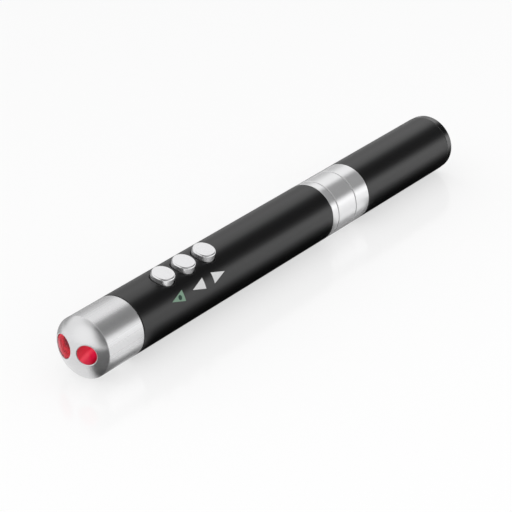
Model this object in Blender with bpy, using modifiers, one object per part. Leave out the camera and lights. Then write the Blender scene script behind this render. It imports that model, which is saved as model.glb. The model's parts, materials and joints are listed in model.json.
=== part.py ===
"""Laser pointer pen with a second, infrared emitter and three keys, built piece by piece.

The pen lies along X with its nose towards -X, on a floor at Z = 0, and the origin is below its middle.
Lengths are in metres. A place along the pen is its distance from the tip of the nose.
The keypad's own frame is rolled about the pen's axis: its third direction points out through the keys.
"""

import math

import bmesh
import bpy
from mathutils import Matrix

MM = 0.001

# Fits that many pieces share
SEAT_GAP = 0.05 * MM
RUN_GAP = 0.1 * MM
OVERRUN = 1.0 * MM
SUNK = 0.2 * MM
MERGE_DISTANCE = 0.001 * MM

# Numbers of flat sides on round pieces
PEN_SIDES = 32
PORT_SIDES = 28
KEY_SIDES = 24
SMALL_SIDES = 16
PIN_SIDES = 10
DOME_STEPS = 8
KEY_DOME_STEPS = 6
LENS_STEPS = 4
SHARP_ANGLE = math.radians(30)

# The place, in its own frame, of what is turned about the frame's axis
ON_AXIS = (0.0, 0.0, 0.0)

# AAA cells
CELL_DIAMETER = 10.5 * MM
CELL_LENGTH = 44.5 * MM
CELL_ROOM = 0.25 * MM
CELL_EDGE = 0.5 * MM
NUB_RADIUS = 1.9 * MM
NUB_HEIGHT = 1.0 * MM
CELL_GAP = 0.05 * MM

# Radial stack of the screw joint, from the cell out to the skin
COLLAR_WALL = 0.55 * MM
THREAD_DEPTH = 0.35 * MM
THREAD_ROOM = 0.1 * MM
NECK_WALL = 0.45 * MM
RING_WALL = 0.5 * MM
BORE_RADIUS = CELL_DIAMETER / 2 + CELL_ROOM
THREAD_ROOT = BORE_RADIUS + COLLAR_WALL
THREAD_CREST = THREAD_ROOT + THREAD_DEPTH
NECK_BORE = THREAD_CREST + THREAD_ROOM
NECK_RADIUS = NECK_BORE + NECK_WALL
RING_BORE = NECK_RADIUS + SEAT_GAP
PEN_RADIUS = RING_BORE + RING_WALL
FLAT_SHARE = math.cos(math.pi / PEN_SIDES)

# Nose cap
DOME_DEPTH = 3.3 * MM
DOME_ROUND_POWER = 2.24
DOME_SHOULDER_POWER = 1.28
SKIRT_LENGTH = 12.5 * MM
NOSE_BLOCK = 5.2 * MM
NOSE_REAR_CHAMFER = 0.2 * MM
CREASE = DOME_DEPTH
POCKET_FLOOR = CREASE + NOSE_BLOCK
NOSE_END = CREASE + SKIRT_LENGTH

# Ports in the nose
LASER_PORT_RADIUS = 2.34 * MM
EMITTER_PORT_RADIUS = 2.8 * MM
WINDOW_RECESS = 0.25 * MM
LASER_WINDOW_BACK = 3.1 * MM
EMITTER_WINDOW_BACK = 3.7 * MM

# Front barrel
BARREL_WALL = 1.0 * MM
BARREL_BORE = PEN_RADIUS - BARREL_WALL
BORE_FLAT = BARREL_BORE * FLAT_SHARE
CORE_RADIUS = BARREL_BORE - SEAT_GAP
BARREL_START = NOSE_END + SEAT_GAP

# Laser module
HOUSING_LENGTH = 10.4 * MM
HOUSING_RADIUS = 2.8 * MM
LENS_BORE = 2.2 * MM
DIODE_BORE = 1.95 * MM
DIODE_SEAT = 2.1 * MM
NUT_SETBACK = 0.2 * MM
NUT_WIDTH = 1.4 * MM
NUT_BORE = 1.1 * MM
NUT_SLOT = 0.6 * MM
LENS_EDGE = 0.7 * MM
LENS_BULGE = 0.45 * MM
LENS_SPRING_WIRE = 0.15 * MM
LENS_SPRING_TURNS = 5
DIODE_FLANGE = 1.0 * MM
DIODE_CAN_RADIUS = 1.3 * MM
DIODE_CAN_HEIGHT = 1.4 * MM
DIODE_PIN_RADIUS = 0.2 * MM
DIODE_PIN_LENGTH = 2.0 * MM
DIODE_PIN_PITCH = 1.4 * MM

# Infrared emitter and its reflector
EMITTER_RADIUS = 1.5 * MM
EMITTER_BODY = 3.4 * MM
EMITTER_FLANGE = 0.8 * MM
EMITTER_FLANGE_RADIUS = 1.9 * MM
EMITTER_PIN_RADIUS = 0.22 * MM
EMITTER_PIN_PITCH = 1.27 * MM
REFLECTOR_FACETS = 12
REFLECTOR_RIM = 0.2 * MM
REFLECTOR_WALL = 0.15 * MM

# Optics holder, whose walls set how far the two axes lie from the pen's
LASER_WALL = 0.6 * MM
EMITTER_WALL = 0.69 * MM
LEAD_SPACE = 2.0 * MM
LASER_OFFSET = CORE_RADIUS - LASER_WALL - HOUSING_RADIUS
EMITTER_OFFSET = CORE_RADIUS - EMITTER_WALL - EMITTER_FLANGE_RADIUS
HOLDER_START = POCKET_FLOOR + SEAT_GAP
HOLDER_END = HOLDER_START + HOUSING_LENGTH

# Keys
KEY_ROLL = math.radians(15.2)
KEY_COUNT = 3
KEY_LEAD = 5.05 * MM
KEY_RADIUS = 2.95 * MM
KEY_LIP = 0.5 * MM
KEY_SPACING = 0.9 * MM
KEY_RISE = 1.5 * MM
KEY_DOME_POWER = 6
KEY_TRAVEL = 0.5 * MM
KEY_FLANGE = 0.6 * MM
KEY_STEM_RADIUS = 1.4 * MM
KEY_FLANGE_RADIUS = KEY_RADIUS + KEY_LIP
KEY_PITCH = 2 * KEY_FLANGE_RADIUS + KEY_SPACING
KEY_FLANGE_TOP = math.sqrt(BORE_FLAT**2 - KEY_FLANGE_RADIUS**2) - RUN_GAP
KEY_FLANGE_BOTTOM = KEY_FLANGE_TOP - KEY_FLANGE

# Screws that hold the guide and the board down, through a tab at each end of the guide
SCREW_RADIUS = 0.6 * MM
SCREW_HEAD_RADIUS = 1.0 * MM
SCREW_HEAD = 0.7 * MM
SCREW_SLOT = 0.3 * MM
SCREW_LENGTH = 4.0 * MM
BOSS_RADIUS = 1.5 * MM
TAB_EDGE = 0.5 * MM
TAB_LENGTH = 2 * (SCREW_HEAD_RADIUS + SEAT_GAP)
TAB_HALF_WIDTH = SCREW_HEAD_RADIUS + TAB_EDGE

# Button guide, switches and board, stacked down from the keys
GUIDE_WALL = 0.6 * MM
GUIDE_SIDE_GAP = 0.34 * MM
GUIDE_STOP_GAP = 0.35 * MM
SWITCH_GAP = 0.3 * MM
SWITCH_HEIGHT = 1.8 * MM
SWITCH_SIZE = 4.4 * MM
SWITCH_LEG_SPAN = 5.8 * MM
SWITCH_LEG_WIDTH = 0.7 * MM
SWITCH_LEG_THICKNESS = 0.3 * MM
SWITCH_LEG_PITCH = 3.0 * MM
PLUNGER_RADIUS = 1.0 * MM
PLUNGER_SUNK = 0.5 * MM
BOARD_THICKNESS = 1.0 * MM
BOARD_SIDE_GAP = 0.46 * MM
PAD_LENGTH = 1.5 * MM
GUIDE_TOP = KEY_FLANGE_BOTTOM - KEY_TRAVEL - GUIDE_STOP_GAP
GUIDE_CEILING = GUIDE_TOP - GUIDE_WALL
SWITCH_TOP = GUIDE_CEILING - SWITCH_GAP
BOARD_TOP = SWITCH_TOP - SWITCH_HEIGHT - SEAT_GAP
BOARD_BOTTOM = BOARD_TOP - BOARD_THICKNESS
PLUNGER_TOP = SWITCH_TOP + KEY_TRAVEL + RUN_GAP
GUIDE_HALF_WIDTH = math.sqrt(BORE_FLAT**2 - GUIDE_TOP**2) - GUIDE_SIDE_GAP
BOARD_HALF_WIDTH = math.sqrt(BORE_FLAT**2 - max(BOARD_TOP**2, BOARD_BOTTOM**2)) - BOARD_SIDE_GAP
BOARD_START = HOLDER_END + LEAD_SPACE
GUIDE_START = BOARD_START + PAD_LENGTH + TAB_LENGTH
FIRST_KEY = GUIDE_START + KEY_LEAD
LAST_KEY = FIRST_KEY + (KEY_COUNT - 1) * KEY_PITCH
GUIDE_END = LAST_KEY + SWITCH_SIZE / 2 + SWITCH_GAP + GUIDE_WALL
BOARD_END = GUIDE_END + TAB_LENGTH

# Chassis tray and the contact plate in its bulkhead
TRAY_WALL = 0.95 * MM
BULKHEAD = 1.4 * MM
CONTACT_RADIUS = 3.9 * MM
CONTACT_THICKNESS = 0.4 * MM
CONTACT_TAB_WIDTH = 2.0 * MM
CONTACT_TAB_GAP = 0.4 * MM
CONTACT_TAB_REACH = 1.6 * MM
CONTACT_DROP = 0.12 * MM
CONTACT_TAB_OFFSET = BOSS_RADIUS + CONTACT_TAB_GAP + CONTACT_TAB_WIDTH / 2
TRAY_START = HOLDER_END + SEAT_GAP
BULKHEAD_START = BOARD_END + RUN_GAP
BULKHEAD_END = BULKHEAD_START + BULKHEAD

# Small parts under and beside the board
CHIP_LENGTH = 6.5 * MM
CHIP_WIDTH = 4.4 * MM
CHIP_HEIGHT = 1.1 * MM
CHIP_LEG_SPAN = 6.2 * MM
CHIP_LEG_WIDTH = 0.35 * MM
CHIP_LEG_PITCH = 1.27 * MM
CHIP_LEG_COUNT = 4
RESONATOR_LENGTH = 5.0 * MM
RESONATOR_WIDTH = 3.2 * MM
RESONATOR_HEIGHT = 1.3 * MM
RESONATOR_EDGE = 0.3 * MM
TRANSISTOR_LENGTH = 2.9 * MM
TRANSISTOR_WIDTH = 1.4 * MM
TRANSISTOR_HEIGHT = 1.0 * MM
TRANSISTOR_LEG_SPAN = 2.4 * MM
TRANSISTOR_LEG = 0.4 * MM
CAPACITOR_RADIUS = 1.6 * MM
CAPACITOR_HEIGHT = 2.6 * MM
CAPACITOR_EDGE = 0.2 * MM
LEAD_RADIUS = 0.25 * MM
GROUND_WIRE_RADIUS = 0.2 * MM
GROUND_SPRING_LENGTH = 5.0 * MM

# Cells along the pen, the front one standing out of the front barrel
CELL_PROUD = 4.55 * MM
FRONT_CELL_START = BULKHEAD_END + CELL_GAP
REAR_CELL_START = FRONT_CELL_START + CELL_LENGTH + CELL_GAP
CELLS_END = REAR_CELL_START + CELL_LENGTH
BARREL_END = FRONT_CELL_START + CELL_LENGTH - CELL_PROUD

# Band and collar
FRONT_RING_WIDTH = 2.6 * MM
MIDDLE_RING_WIDTH = 7.8 * MM
REAR_RING_WIDTH = 5.8 * MM
BAND_GROOVE = 0.24 * MM
RING_CHAMFER = 0.12 * MM
COLLAR_SEAT_LENGTH = 5.9 * MM
THREAD_PITCH = 1.0 * MM
THREAD_TURNS = 5
THREAD_RELIEF = 0.7 * MM
THREAD_CREST_SHARE = 0.25
SEAL_THICKNESS = 0.35 * MM
SEAL_LIP = 0.05 * MM
NECK_ROOM = 1.0 * MM
RING_END = BARREL_END + FRONT_RING_WIDTH
MIDDLE_END = RING_END + MIDDLE_RING_WIDTH
BAND_END = MIDDLE_END + REAR_RING_WIDTH
COLLAR_START = BARREL_END - COLLAR_SEAT_LENGTH
THREAD_START = RING_END + THREAD_RELIEF
THREAD_END = THREAD_START + THREAD_TURNS * THREAD_PITCH
COLLAR_END = THREAD_END + COLLAR_WALL
NECK_START = RING_END + SEAL_THICKNESS + 2 * SEAT_GAP
NECK_STEP = COLLAR_END + NECK_ROOM

# Tail
TAIL_SPRING_HEIGHT = 5.0 * MM
TAIL_SPRING_WIRE = 0.3 * MM
TAIL_SPRING_TURNS = 3.5
TAIL_SPRING_ROOM = 0.65 * MM
TAIL_SPRING_TIP = 2.2 * MM
COIL_POINTS_PER_TURN = 10
PLUG_END = 2.8 * MM
PLUG_RING_WIDTH = 2.3 * MM
PLUG_TAPER = 0.12 * MM
PLUG_ROUND = 0.35 * MM
PLUG_WALL = 1.6 * MM
PLUG_SPIGOT = 4.0 * MM
PLUG_SLEEVE = 1.2 * MM
PLUG_FLOOR = CELLS_END + TAIL_SPRING_HEIGHT + 2 * SEAT_GAP
PEN_LENGTH = PLUG_FLOOR + PLUG_END
REAR_BARREL_END = PEN_LENGTH - PLUG_RING_WIDTH
PLUG_SEAT_RADIUS = PEN_RADIUS - PLUG_SLEEVE
PLUG_SPIGOT_RADIUS = PLUG_SEAT_RADIUS - SEAT_GAP
PLUG_POCKET_RADIUS = PLUG_SPIGOT_RADIUS - PLUG_WALL
TAIL_SPRING_FOOT = PLUG_POCKET_RADIUS - TAIL_SPRING_WIRE - TAIL_SPRING_ROOM
PLUG_SEAT_START = REAR_BARREL_END - PLUG_SPIGOT

# The pen rests on one flat side, so its axis is a flat's distance above the floor
AXIS_HEIGHT = PEN_RADIUS * FLAT_SHARE

# Colours as linear red, green and blue
SATIN_METAL = (0.78, 0.78, 0.80)
SATIN_BLACK = (0.012, 0.012, 0.013)
GLOSS_BLACK = (0.006, 0.006, 0.007)
CHROME = (0.85, 0.85, 0.87)
WINDOW_RED = (0.62, 0.004, 0.022)
SILVERED = (0.9, 0.9, 0.92)
BRASS = (0.70, 0.50, 0.20)
CLEAR = (0.80, 0.86, 0.90)
SMOKE = (0.05, 0.03, 0.06)
SPRING_STEEL = (0.55, 0.55, 0.56)
NICKEL = (0.66, 0.64, 0.60)
BLACK_PLASTIC = (0.02, 0.02, 0.022)
GREY_PLASTIC = (0.16, 0.17, 0.18)
WHITE_PLASTIC = (0.75, 0.74, 0.70)
BOARD_GREEN = (0.015, 0.12, 0.04)
RED_LEAD = (0.50, 0.02, 0.02)
BLACK_LEAD = (0.01, 0.01, 0.01)
CELL_GREY = (0.33, 0.35, 0.38)
SEAL_BLACK = (0.015, 0.015, 0.015)


def clear_scene():
    """Removes what the file holds, so that only the pen is left."""
    for obj in list(bpy.data.objects):
        bpy.data.objects.remove(obj, do_unlink=True)


def new_collection(name):
    collection = bpy.data.collections.new(name)
    bpy.context.scene.collection.children.link(collection)
    return collection


def new_frame(name, collection, place, roll=0.0):
    """An empty that carries pieces: the pen's axis, or the keypad rolled about it."""
    empty = bpy.data.objects.new(name, None)
    empty.location = place
    empty.rotation_euler = (roll, 0.0, 0.0)
    collection.objects.link(empty)
    return empty


def new_object(name, data, frame, place):
    obj = bpy.data.objects.new(name, data)
    PARTS.objects.link(obj)
    obj.parent = frame
    obj.location = place
    return obj


def finish(obj, colour, roughness, metallic=0.0):
    """Gives the piece its own Principled material."""
    material = bpy.data.materials.new(obj.name + "_finish")
    material.use_nodes = True
    shader = material.node_tree.nodes["Principled BSDF"]
    shader.inputs["Base Color"].default_value = (*colour, 1.0)
    shader.inputs["Roughness"].default_value = roughness
    shader.inputs["Metallic"].default_value = metallic
    material.diffuse_color = (*colour, 1.0)
    obj.data.materials.clear()
    obj.data.materials.append(material)
    return obj


def turned(name, profile, frame, place, sides, upright=False):
    """A turned piece, whose profile lists (place along the axis, radius).

    The axis is the pen's, or the keys' if it is upright. A profile that begins and ends on the axis is
    solid there, and any other is a closed ring.
    """
    points = [(radius, along) for along, radius in profile]
    following = points[1:] + points[:1]
    area = sum(r0 * z1 - r1 * z0 for (r0, z0), (r1, z1) in zip(points, following))
    if area > 0:
        points.reverse()
    half_side = math.pi / sides
    verts = [(r * math.cos(half_side), r * math.sin(half_side), z) for r, z in points]
    edges = [(i, i + 1) for i in range(len(verts) - 1)]
    if points[0][0] > 0:
        edges.append((len(verts) - 1, 0))
    mesh = bpy.data.meshes.new(name)
    mesh.from_pydata(verts, edges, [])
    obj = new_object(name, mesh, frame, place)
    if not upright:
        obj.rotation_euler = (0.0, math.pi / 2, 0.0)
    screw = obj.modifiers.new("Turn", "SCREW")
    screw.axis = "Z"
    screw.angle = 2 * math.pi
    screw.steps = sides
    screw.render_steps = sides
    screw.use_merge_vertices = True
    screw.merge_threshold = MERGE_DISTANCE
    return obj


def from_primitive(name, work, frame, place):
    mesh = bpy.data.meshes.new(name)
    work.to_mesh(mesh)
    work.free()
    return new_object(name, mesh, frame, place)


def box(name, low, high, frame):
    """A box between two corners, in its frame."""
    size = [b - a for a, b in zip(low, high)]
    centre = [(a + b) / 2 for a, b in zip(low, high)]
    work = bmesh.new()
    bmesh.ops.create_cube(work, size=1.0, matrix=Matrix.Diagonal((*size, 1.0)))
    return from_primitive(name, work, frame, centre)


def rod(name, start, end, radius, frame, place, sides=PORT_SIDES, upright=False):
    """A plain cylinder from start to end along the pen's axis, or along the keys' if it is upright."""
    half_side = Matrix.Rotation(math.pi / sides, 4, "Z")
    middle = Matrix.Translation((0.0, 0.0, (start + end) / 2))
    ends = {"radius1": radius, "radius2": radius, "depth": end - start}
    work = bmesh.new()
    bmesh.ops.create_cone(work, cap_ends=True, segments=sides, matrix=middle @ half_side, **ends)
    obj = from_primitive(name, work, frame, place)
    if not upright:
        obj.rotation_euler = (0.0, math.pi / 2, 0.0)
    return obj


def tube(name, start, end, inner, outer, frame, place, sides, upright=False):
    """A plain tube from start to end along its axis."""
    loop = [(start, inner), (start, outer), (end, outer), (end, inner)]
    return turned(name, loop, frame, place, sides, upright)


def bevelled(obj, width, segments=1):
    bevel = obj.modifiers.new("Edges", "BEVEL")
    bevel.width = width
    bevel.segments = segments
    bevel.limit_method = "ANGLE"
    bevel.angle_limit = SHARP_ANGLE
    return obj


def combine(obj, tool, operation):
    """Cuts the tool out of the piece, joins it on, or keeps what both share."""
    boolean = obj.modifiers.new(tool.name, "BOOLEAN")
    boolean.object = tool
    boolean.operation = operation
    boolean.solver = "EXACT"
    PARTS.objects.unlink(tool)
    CUTTERS.objects.link(tool)
    tool.hide_render = True
    tool.display_type = "WIRE"
    return obj


def cut(obj, *tools):
    for tool in tools:
        combine(obj, tool, "DIFFERENCE")
    return obj


def join(obj, *tools):
    for tool in tools:
        combine(obj, tool, "UNION")
    return obj


def wire(name, points, radius, frame):
    """A thin wire on a smooth curve through a few points."""
    curve = bpy.data.curves.new(name, "CURVE")
    curve.dimensions = "3D"
    curve.bevel_depth = radius
    curve.bevel_resolution = 1
    curve.resolution_u = 3
    curve.use_fill_caps = True
    spline = curve.splines.new("BEZIER")
    spline.bezier_points.add(len(points) - 1)
    for knot, point in zip(spline.bezier_points, points):
        knot.co = point
        knot.handle_left_type = "AUTO"
        knot.handle_right_type = "AUTO"
    return new_object(name, curve, frame, ON_AXIS)


def coil(name, start, end, first_radius, last_radius, turns, wire_radius, frame, place):
    """A wound spring along the pen, from start to end, whose turns grow or shrink evenly."""
    count = round(turns * COIL_POINTS_PER_TURN) + 1
    curve = bpy.data.curves.new(name, "CURVE")
    curve.dimensions = "3D"
    curve.bevel_depth = wire_radius
    curve.bevel_resolution = 1
    curve.use_fill_caps = True
    spline = curve.splines.new("POLY")
    spline.points.add(count - 1)
    for index, point in enumerate(spline.points):
        share = index / (count - 1)
        angle = 2 * math.pi * turns * share
        radius = first_radius + (last_radius - first_radius) * share
        along = start + wire_radius + (end - start - 2 * wire_radius) * share
        point.co = (along, radius * math.cos(angle), radius * math.sin(angle), 1.0)
    return new_object(name, curve, frame, place)


def dome_place(radius, recess=0.0):
    """How far the domed front lies from the nose's tip at this distance from the axis."""
    share = min(radius / PEN_RADIUS, 1.0)
    depth = DOME_DEPTH * (1 - share**DOME_ROUND_POWER) ** (1 / DOME_SHOULDER_POWER)
    return CREASE - depth + recess


def dome_profile(recess=0.0):
    """The dome from the tip out to its crease."""
    radii = [PEN_RADIUS * math.sin(math.pi / 2 * step / DOME_STEPS) for step in range(DOME_STEPS + 1)]
    return [(dome_place(radius, recess), radius) for radius in radii]


def port(name, start, end, radius, offset, sides=PORT_SIDES):
    """A cylinder on the axis of one of the nose's two ports."""
    return rod(name, start, end, radius, PEN, (0.0, offset, 0.0), sides)


def nose_cap():
    inside = [(POCKET_FLOOR, 0.0), (POCKET_FLOOR, BARREL_BORE), (NOSE_END, BARREL_BORE)]
    edge = [(NOSE_END, PEN_RADIUS - NOSE_REAR_CHAMFER), (NOSE_END - NOSE_REAR_CHAMFER, PEN_RADIUS)]
    cap = turned("nose_cap", inside + edge + dome_profile()[::-1], PEN, ON_AXIS, PEN_SIDES)
    cut(
        cap,
        port("laser_port", -OVERRUN, POCKET_FLOOR + OVERRUN, LASER_PORT_RADIUS, -LASER_OFFSET),
        port("emitter_port", -OVERRUN, POCKET_FLOOR + OVERRUN, EMITTER_PORT_RADIUS, EMITTER_OFFSET),
    )
    finish(cap, SATIN_METAL, 0.3, 1.0)


def window(name, port_radius, offset, back):
    """A red plug in its port, whose face keeps the dome's curve, set back a little."""
    plug = port(name, -OVERRUN, back, port_radius - SEAT_GAP, offset)
    filled = [(POCKET_FLOOR, 0.0), (POCKET_FLOOR, PEN_RADIUS)] + dome_profile(WINDOW_RECESS)[::-1]
    combine(plug, turned(name + "_dome", filled, PEN, ON_AXIS, PEN_SIDES), "INTERSECT")
    finish(plug, WINDOW_RED, 0.08)


def emitter_reflector():
    """A faceted bowl behind the larger window, open at its root for the emitter."""
    start = EMITTER_WINDOW_BACK + SEAT_GAP
    end = POCKET_FLOOR
    outer = (EMITTER_PORT_RADIUS - SEAT_GAP) * math.cos(math.pi / PORT_SIDES)
    root = EMITTER_RADIUS / math.cos(math.pi / REFLECTOR_FACETS) + RUN_GAP
    loop = [
        (start, outer - REFLECTOR_RIM),
        (start, outer),
        (end, outer),
        (end, root),
        (end - EMITTER_FLANGE, root),
        ((start + end) / 2, (outer - REFLECTOR_WALL + root) / 2 + REFLECTOR_WALL),
    ]
    bowl = turned("emitter_reflector", loop, PEN, (0.0, EMITTER_OFFSET, 0.0), REFLECTOR_FACETS)
    finish(bowl, SILVERED, 0.12, 1.0)


def infrared_emitter():
    flange_start = HOLDER_START
    flange_end = flange_start + EMITTER_FLANGE
    shoulder = flange_start - EMITTER_BODY + EMITTER_RADIUS
    dome = [
        (shoulder - EMITTER_RADIUS * math.cos(angle), EMITTER_RADIUS * math.sin(angle))
        for angle in (math.pi / 2 * step / LENS_STEPS for step in range(LENS_STEPS + 1))
    ]
    profile = dome + [
        (flange_start, EMITTER_RADIUS),
        (flange_start, EMITTER_FLANGE_RADIUS),
        (flange_end, EMITTER_FLANGE_RADIUS),
        (flange_end, 0.0),
    ]
    emitter = turned("infrared_emitter", profile, PEN, (0.0, EMITTER_OFFSET, 0.0), SMALL_SIDES)
    pin_start = flange_end - SUNK
    pin_end = HOLDER_END + RUN_GAP
    for side in (-1, 1):
        offset = EMITTER_OFFSET + side * EMITTER_PIN_PITCH / 2
        pin = port(f"emitter_pin_{side}", pin_start, pin_end, EMITTER_PIN_RADIUS, offset, PIN_SIDES)
        join(emitter, pin)
    finish(emitter, SMOKE, 0.1)


def laser_module():
    """Brass housing with a lens nut, lens and spring in front and the diode pressed in behind."""
    start = HOLDER_START
    end = start + HOUSING_LENGTH
    seat = end - DIODE_SEAT
    axis = (0.0, -LASER_OFFSET, 0.0)
    housing = [
        (start, LENS_BORE),
        (start, HOUSING_RADIUS),
        (end, HOUSING_RADIUS),
        (end, DIODE_BORE),
        (seat, DIODE_BORE),
        (seat, DIODE_CAN_RADIUS + RUN_GAP),
        (seat - DIODE_FLANGE, DIODE_CAN_RADIUS + RUN_GAP),
        (seat - DIODE_FLANGE, LENS_BORE),
    ]
    finish(turned("laser_housing", housing, PEN, axis, KEY_SIDES), BRASS, 0.25, 1.0)

    fitted = LENS_BORE - SEAT_GAP
    nut_start = start + NUT_SETBACK
    nut_end = nut_start + NUT_WIDTH
    nut = tube("lens_nut", nut_start, nut_end, NUT_BORE, fitted, PEN, axis, KEY_SIDES)
    slot_half = NUT_SLOT / 2
    slot = box(
        "nut_slot",
        (nut_start - OVERRUN, -LASER_OFFSET - slot_half, -HOUSING_RADIUS),
        (nut_start + NUT_SLOT, -LASER_OFFSET + slot_half, HOUSING_RADIUS),
        PEN,
    )
    finish(cut(nut, slot), BRASS, 0.3, 1.0)

    lens_start = nut_end + SEAT_GAP + LENS_BULGE
    shares = [step / LENS_STEPS for step in range(LENS_STEPS + 1)]
    front = [(lens_start - LENS_BULGE * (1 - s * s), fitted * s) for s in shares]
    back = [(lens_start + LENS_EDGE + LENS_BULGE * (1 - s * s), fitted * s) for s in shares]
    finish(turned("collimator_lens", front + back[::-1], PEN, axis, SMALL_SIDES), CLEAR, 0.05)

    spring_start = lens_start + LENS_EDGE + SEAT_GAP
    spring_end = seat - DIODE_FLANGE - SEAT_GAP
    spring_radius = LENS_BORE - LENS_SPRING_WIRE - RUN_GAP
    spring = coil(
        "lens_spring",
        spring_start,
        spring_end,
        spring_radius,
        spring_radius,
        LENS_SPRING_TURNS,
        LENS_SPRING_WIRE,
        PEN,
        axis,
    )
    finish(spring, SPRING_STEEL, 0.3, 1.0)

    flange_start = seat + SEAT_GAP
    flange_end = flange_start + DIODE_FLANGE
    can_start = flange_start - DIODE_CAN_HEIGHT
    can = [
        (can_start, 0.0),
        (can_start, DIODE_CAN_RADIUS),
        (flange_start, DIODE_CAN_RADIUS),
        (flange_start, DIODE_BORE - SEAT_GAP),
        (flange_end, DIODE_BORE - SEAT_GAP),
        (flange_end, 0.0),
    ]
    diode = turned("laser_diode", can, PEN, axis, SMALL_SIDES)
    for side in (-1, 1):
        offset = -LASER_OFFSET + side * DIODE_PIN_PITCH / 2
        pin_end = flange_end + DIODE_PIN_LENGTH
        pin = port(f"diode_pin_{side}", flange_end - SUNK, pin_end, DIODE_PIN_RADIUS, offset, PIN_SIDES)
        join(diode, pin)
    finish(diode, NICKEL, 0.25, 1.0)


def optics_holder():
    """A plug that carries the laser module and the emitter, and joins the nose to the barrel."""
    holder = rod("optics_holder", HOLDER_START, HOLDER_END, CORE_RADIUS, PEN, ON_AXIS, PEN_SIDES)
    flange_end = HOLDER_START + EMITTER_FLANGE + RUN_GAP
    step = EMITTER_FLANGE_RADIUS + RUN_GAP
    legs = EMITTER_PIN_PITCH / 2 + EMITTER_PIN_RADIUS + RUN_GAP
    low = POCKET_FLOOR - OVERRUN
    high = HOLDER_END + OVERRUN
    cut(
        holder,
        port("laser_bore", low, high, HOUSING_RADIUS + SEAT_GAP, -LASER_OFFSET),
        port("emitter_bore", low, flange_end, step, EMITTER_OFFSET),
        port("emitter_leg_bore", flange_end - SUNK, high, legs, EMITTER_OFFSET, SMALL_SIDES),
    )
    finish(holder, BLACK_PLASTIC, 0.5)


def screw_places():
    """Both screws stand on the keypad's middle line, in the guide's tabs."""
    return GUIDE_START - TAB_LENGTH / 2, GUIDE_END + TAB_LENGTH / 2


def chassis():
    """A half-round tray under the board, with a bulkhead that holds the front contact."""
    tray_inner = CORE_RADIUS - TRAY_WALL
    rim = BOARD_BOTTOM - SEAT_GAP
    tray = tube("chassis", TRAY_START, BULKHEAD_END, tray_inner, CORE_RADIUS, KEYPAD, ON_AXIS, PEN_SIDES)
    reach = CORE_RADIUS + OVERRUN
    opening_low = (TRAY_START - OVERRUN, -reach, rim)
    cut(tray, box("tray_opening", opening_low, (BULKHEAD_START, reach, reach), KEYPAD))
    wall_end = BULKHEAD_END - SUNK
    join(tray, rod("bulkhead", BULKHEAD_START, wall_end, tray_inner + SUNK, KEYPAD, ON_AXIS, SMALL_SIDES))
    boss_bottom = -tray_inner - SUNK
    hole_bottom = BOARD_TOP - SCREW_LENGTH - RUN_GAP
    hole_radius = SCREW_RADIUS + RUN_GAP
    for index, along in enumerate(screw_places()):
        place = (along, 0.0, 0.0)
        join(tray, rod(f"boss_{index}", boss_bottom, rim, BOSS_RADIUS, KEYPAD, place, SMALL_SIDES, True))
        hole_name = f"boss_hole_{index}"
        cut(tray, rod(hole_name, hole_bottom, rim + OVERRUN, hole_radius, KEYPAD, place, PIN_SIDES, True))
    recess_floor = contact_front() - SEAT_GAP
    recess = rod(
        "contact_recess",
        recess_floor,
        BULKHEAD_END + OVERRUN,
        CONTACT_RADIUS + SEAT_GAP,
        KEYPAD,
        ON_AXIS,
        SMALL_SIDES,
    )
    low, high = contact_tab_box()
    slot = box(
        "contact_slot",
        (BULKHEAD_START - OVERRUN, low[1] - RUN_GAP, low[2] - RUN_GAP),
        (BULKHEAD_END, high[1] + RUN_GAP, high[2] + RUN_GAP),
        KEYPAD,
    )
    cut(tray, recess, slot)
    finish(tray, BLACK_PLASTIC, 0.5)


def contact_front():
    """The contact plate lies just below the bulkhead's rear face."""
    return BULKHEAD_END - SEAT_GAP - CONTACT_THICKNESS


def contact_tab_box():
    """The tab that runs forward from the plate to a pad under the board."""
    top = BOARD_BOTTOM - CONTACT_DROP
    half = CONTACT_TAB_WIDTH / 2
    low = (BULKHEAD_START - CONTACT_TAB_REACH, CONTACT_TAB_OFFSET - half, top - CONTACT_THICKNESS)
    high = (contact_front() + SUNK, CONTACT_TAB_OFFSET + half, top)
    return low, high


def front_contact():
    start = contact_front()
    end = start + CONTACT_THICKNESS
    plate = rod("front_contact", start, end, CONTACT_RADIUS, KEYPAD, ON_AXIS, SMALL_SIDES)
    low, high = contact_tab_box()
    join(plate, box("contact_tab", low, high, KEYPAD))
    finish(plate, NICKEL, 0.3, 1.0)


def circuit_board():
    half = BOARD_HALF_WIDTH
    board = box("circuit_board", (BOARD_START, -half, BOARD_BOTTOM), (BOARD_END, half, BOARD_TOP), KEYPAD)
    low = BOARD_BOTTOM - OVERRUN
    high = BOARD_TOP + OVERRUN
    radius = SCREW_RADIUS + RUN_GAP
    for index, along in enumerate(screw_places()):
        place = (along, 0.0, 0.0)
        cut(board, rod(f"board_hole_{index}", low, high, radius, KEYPAD, place, PIN_SIDES, True))
    finish(board, BOARD_GREEN, 0.4)


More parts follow.
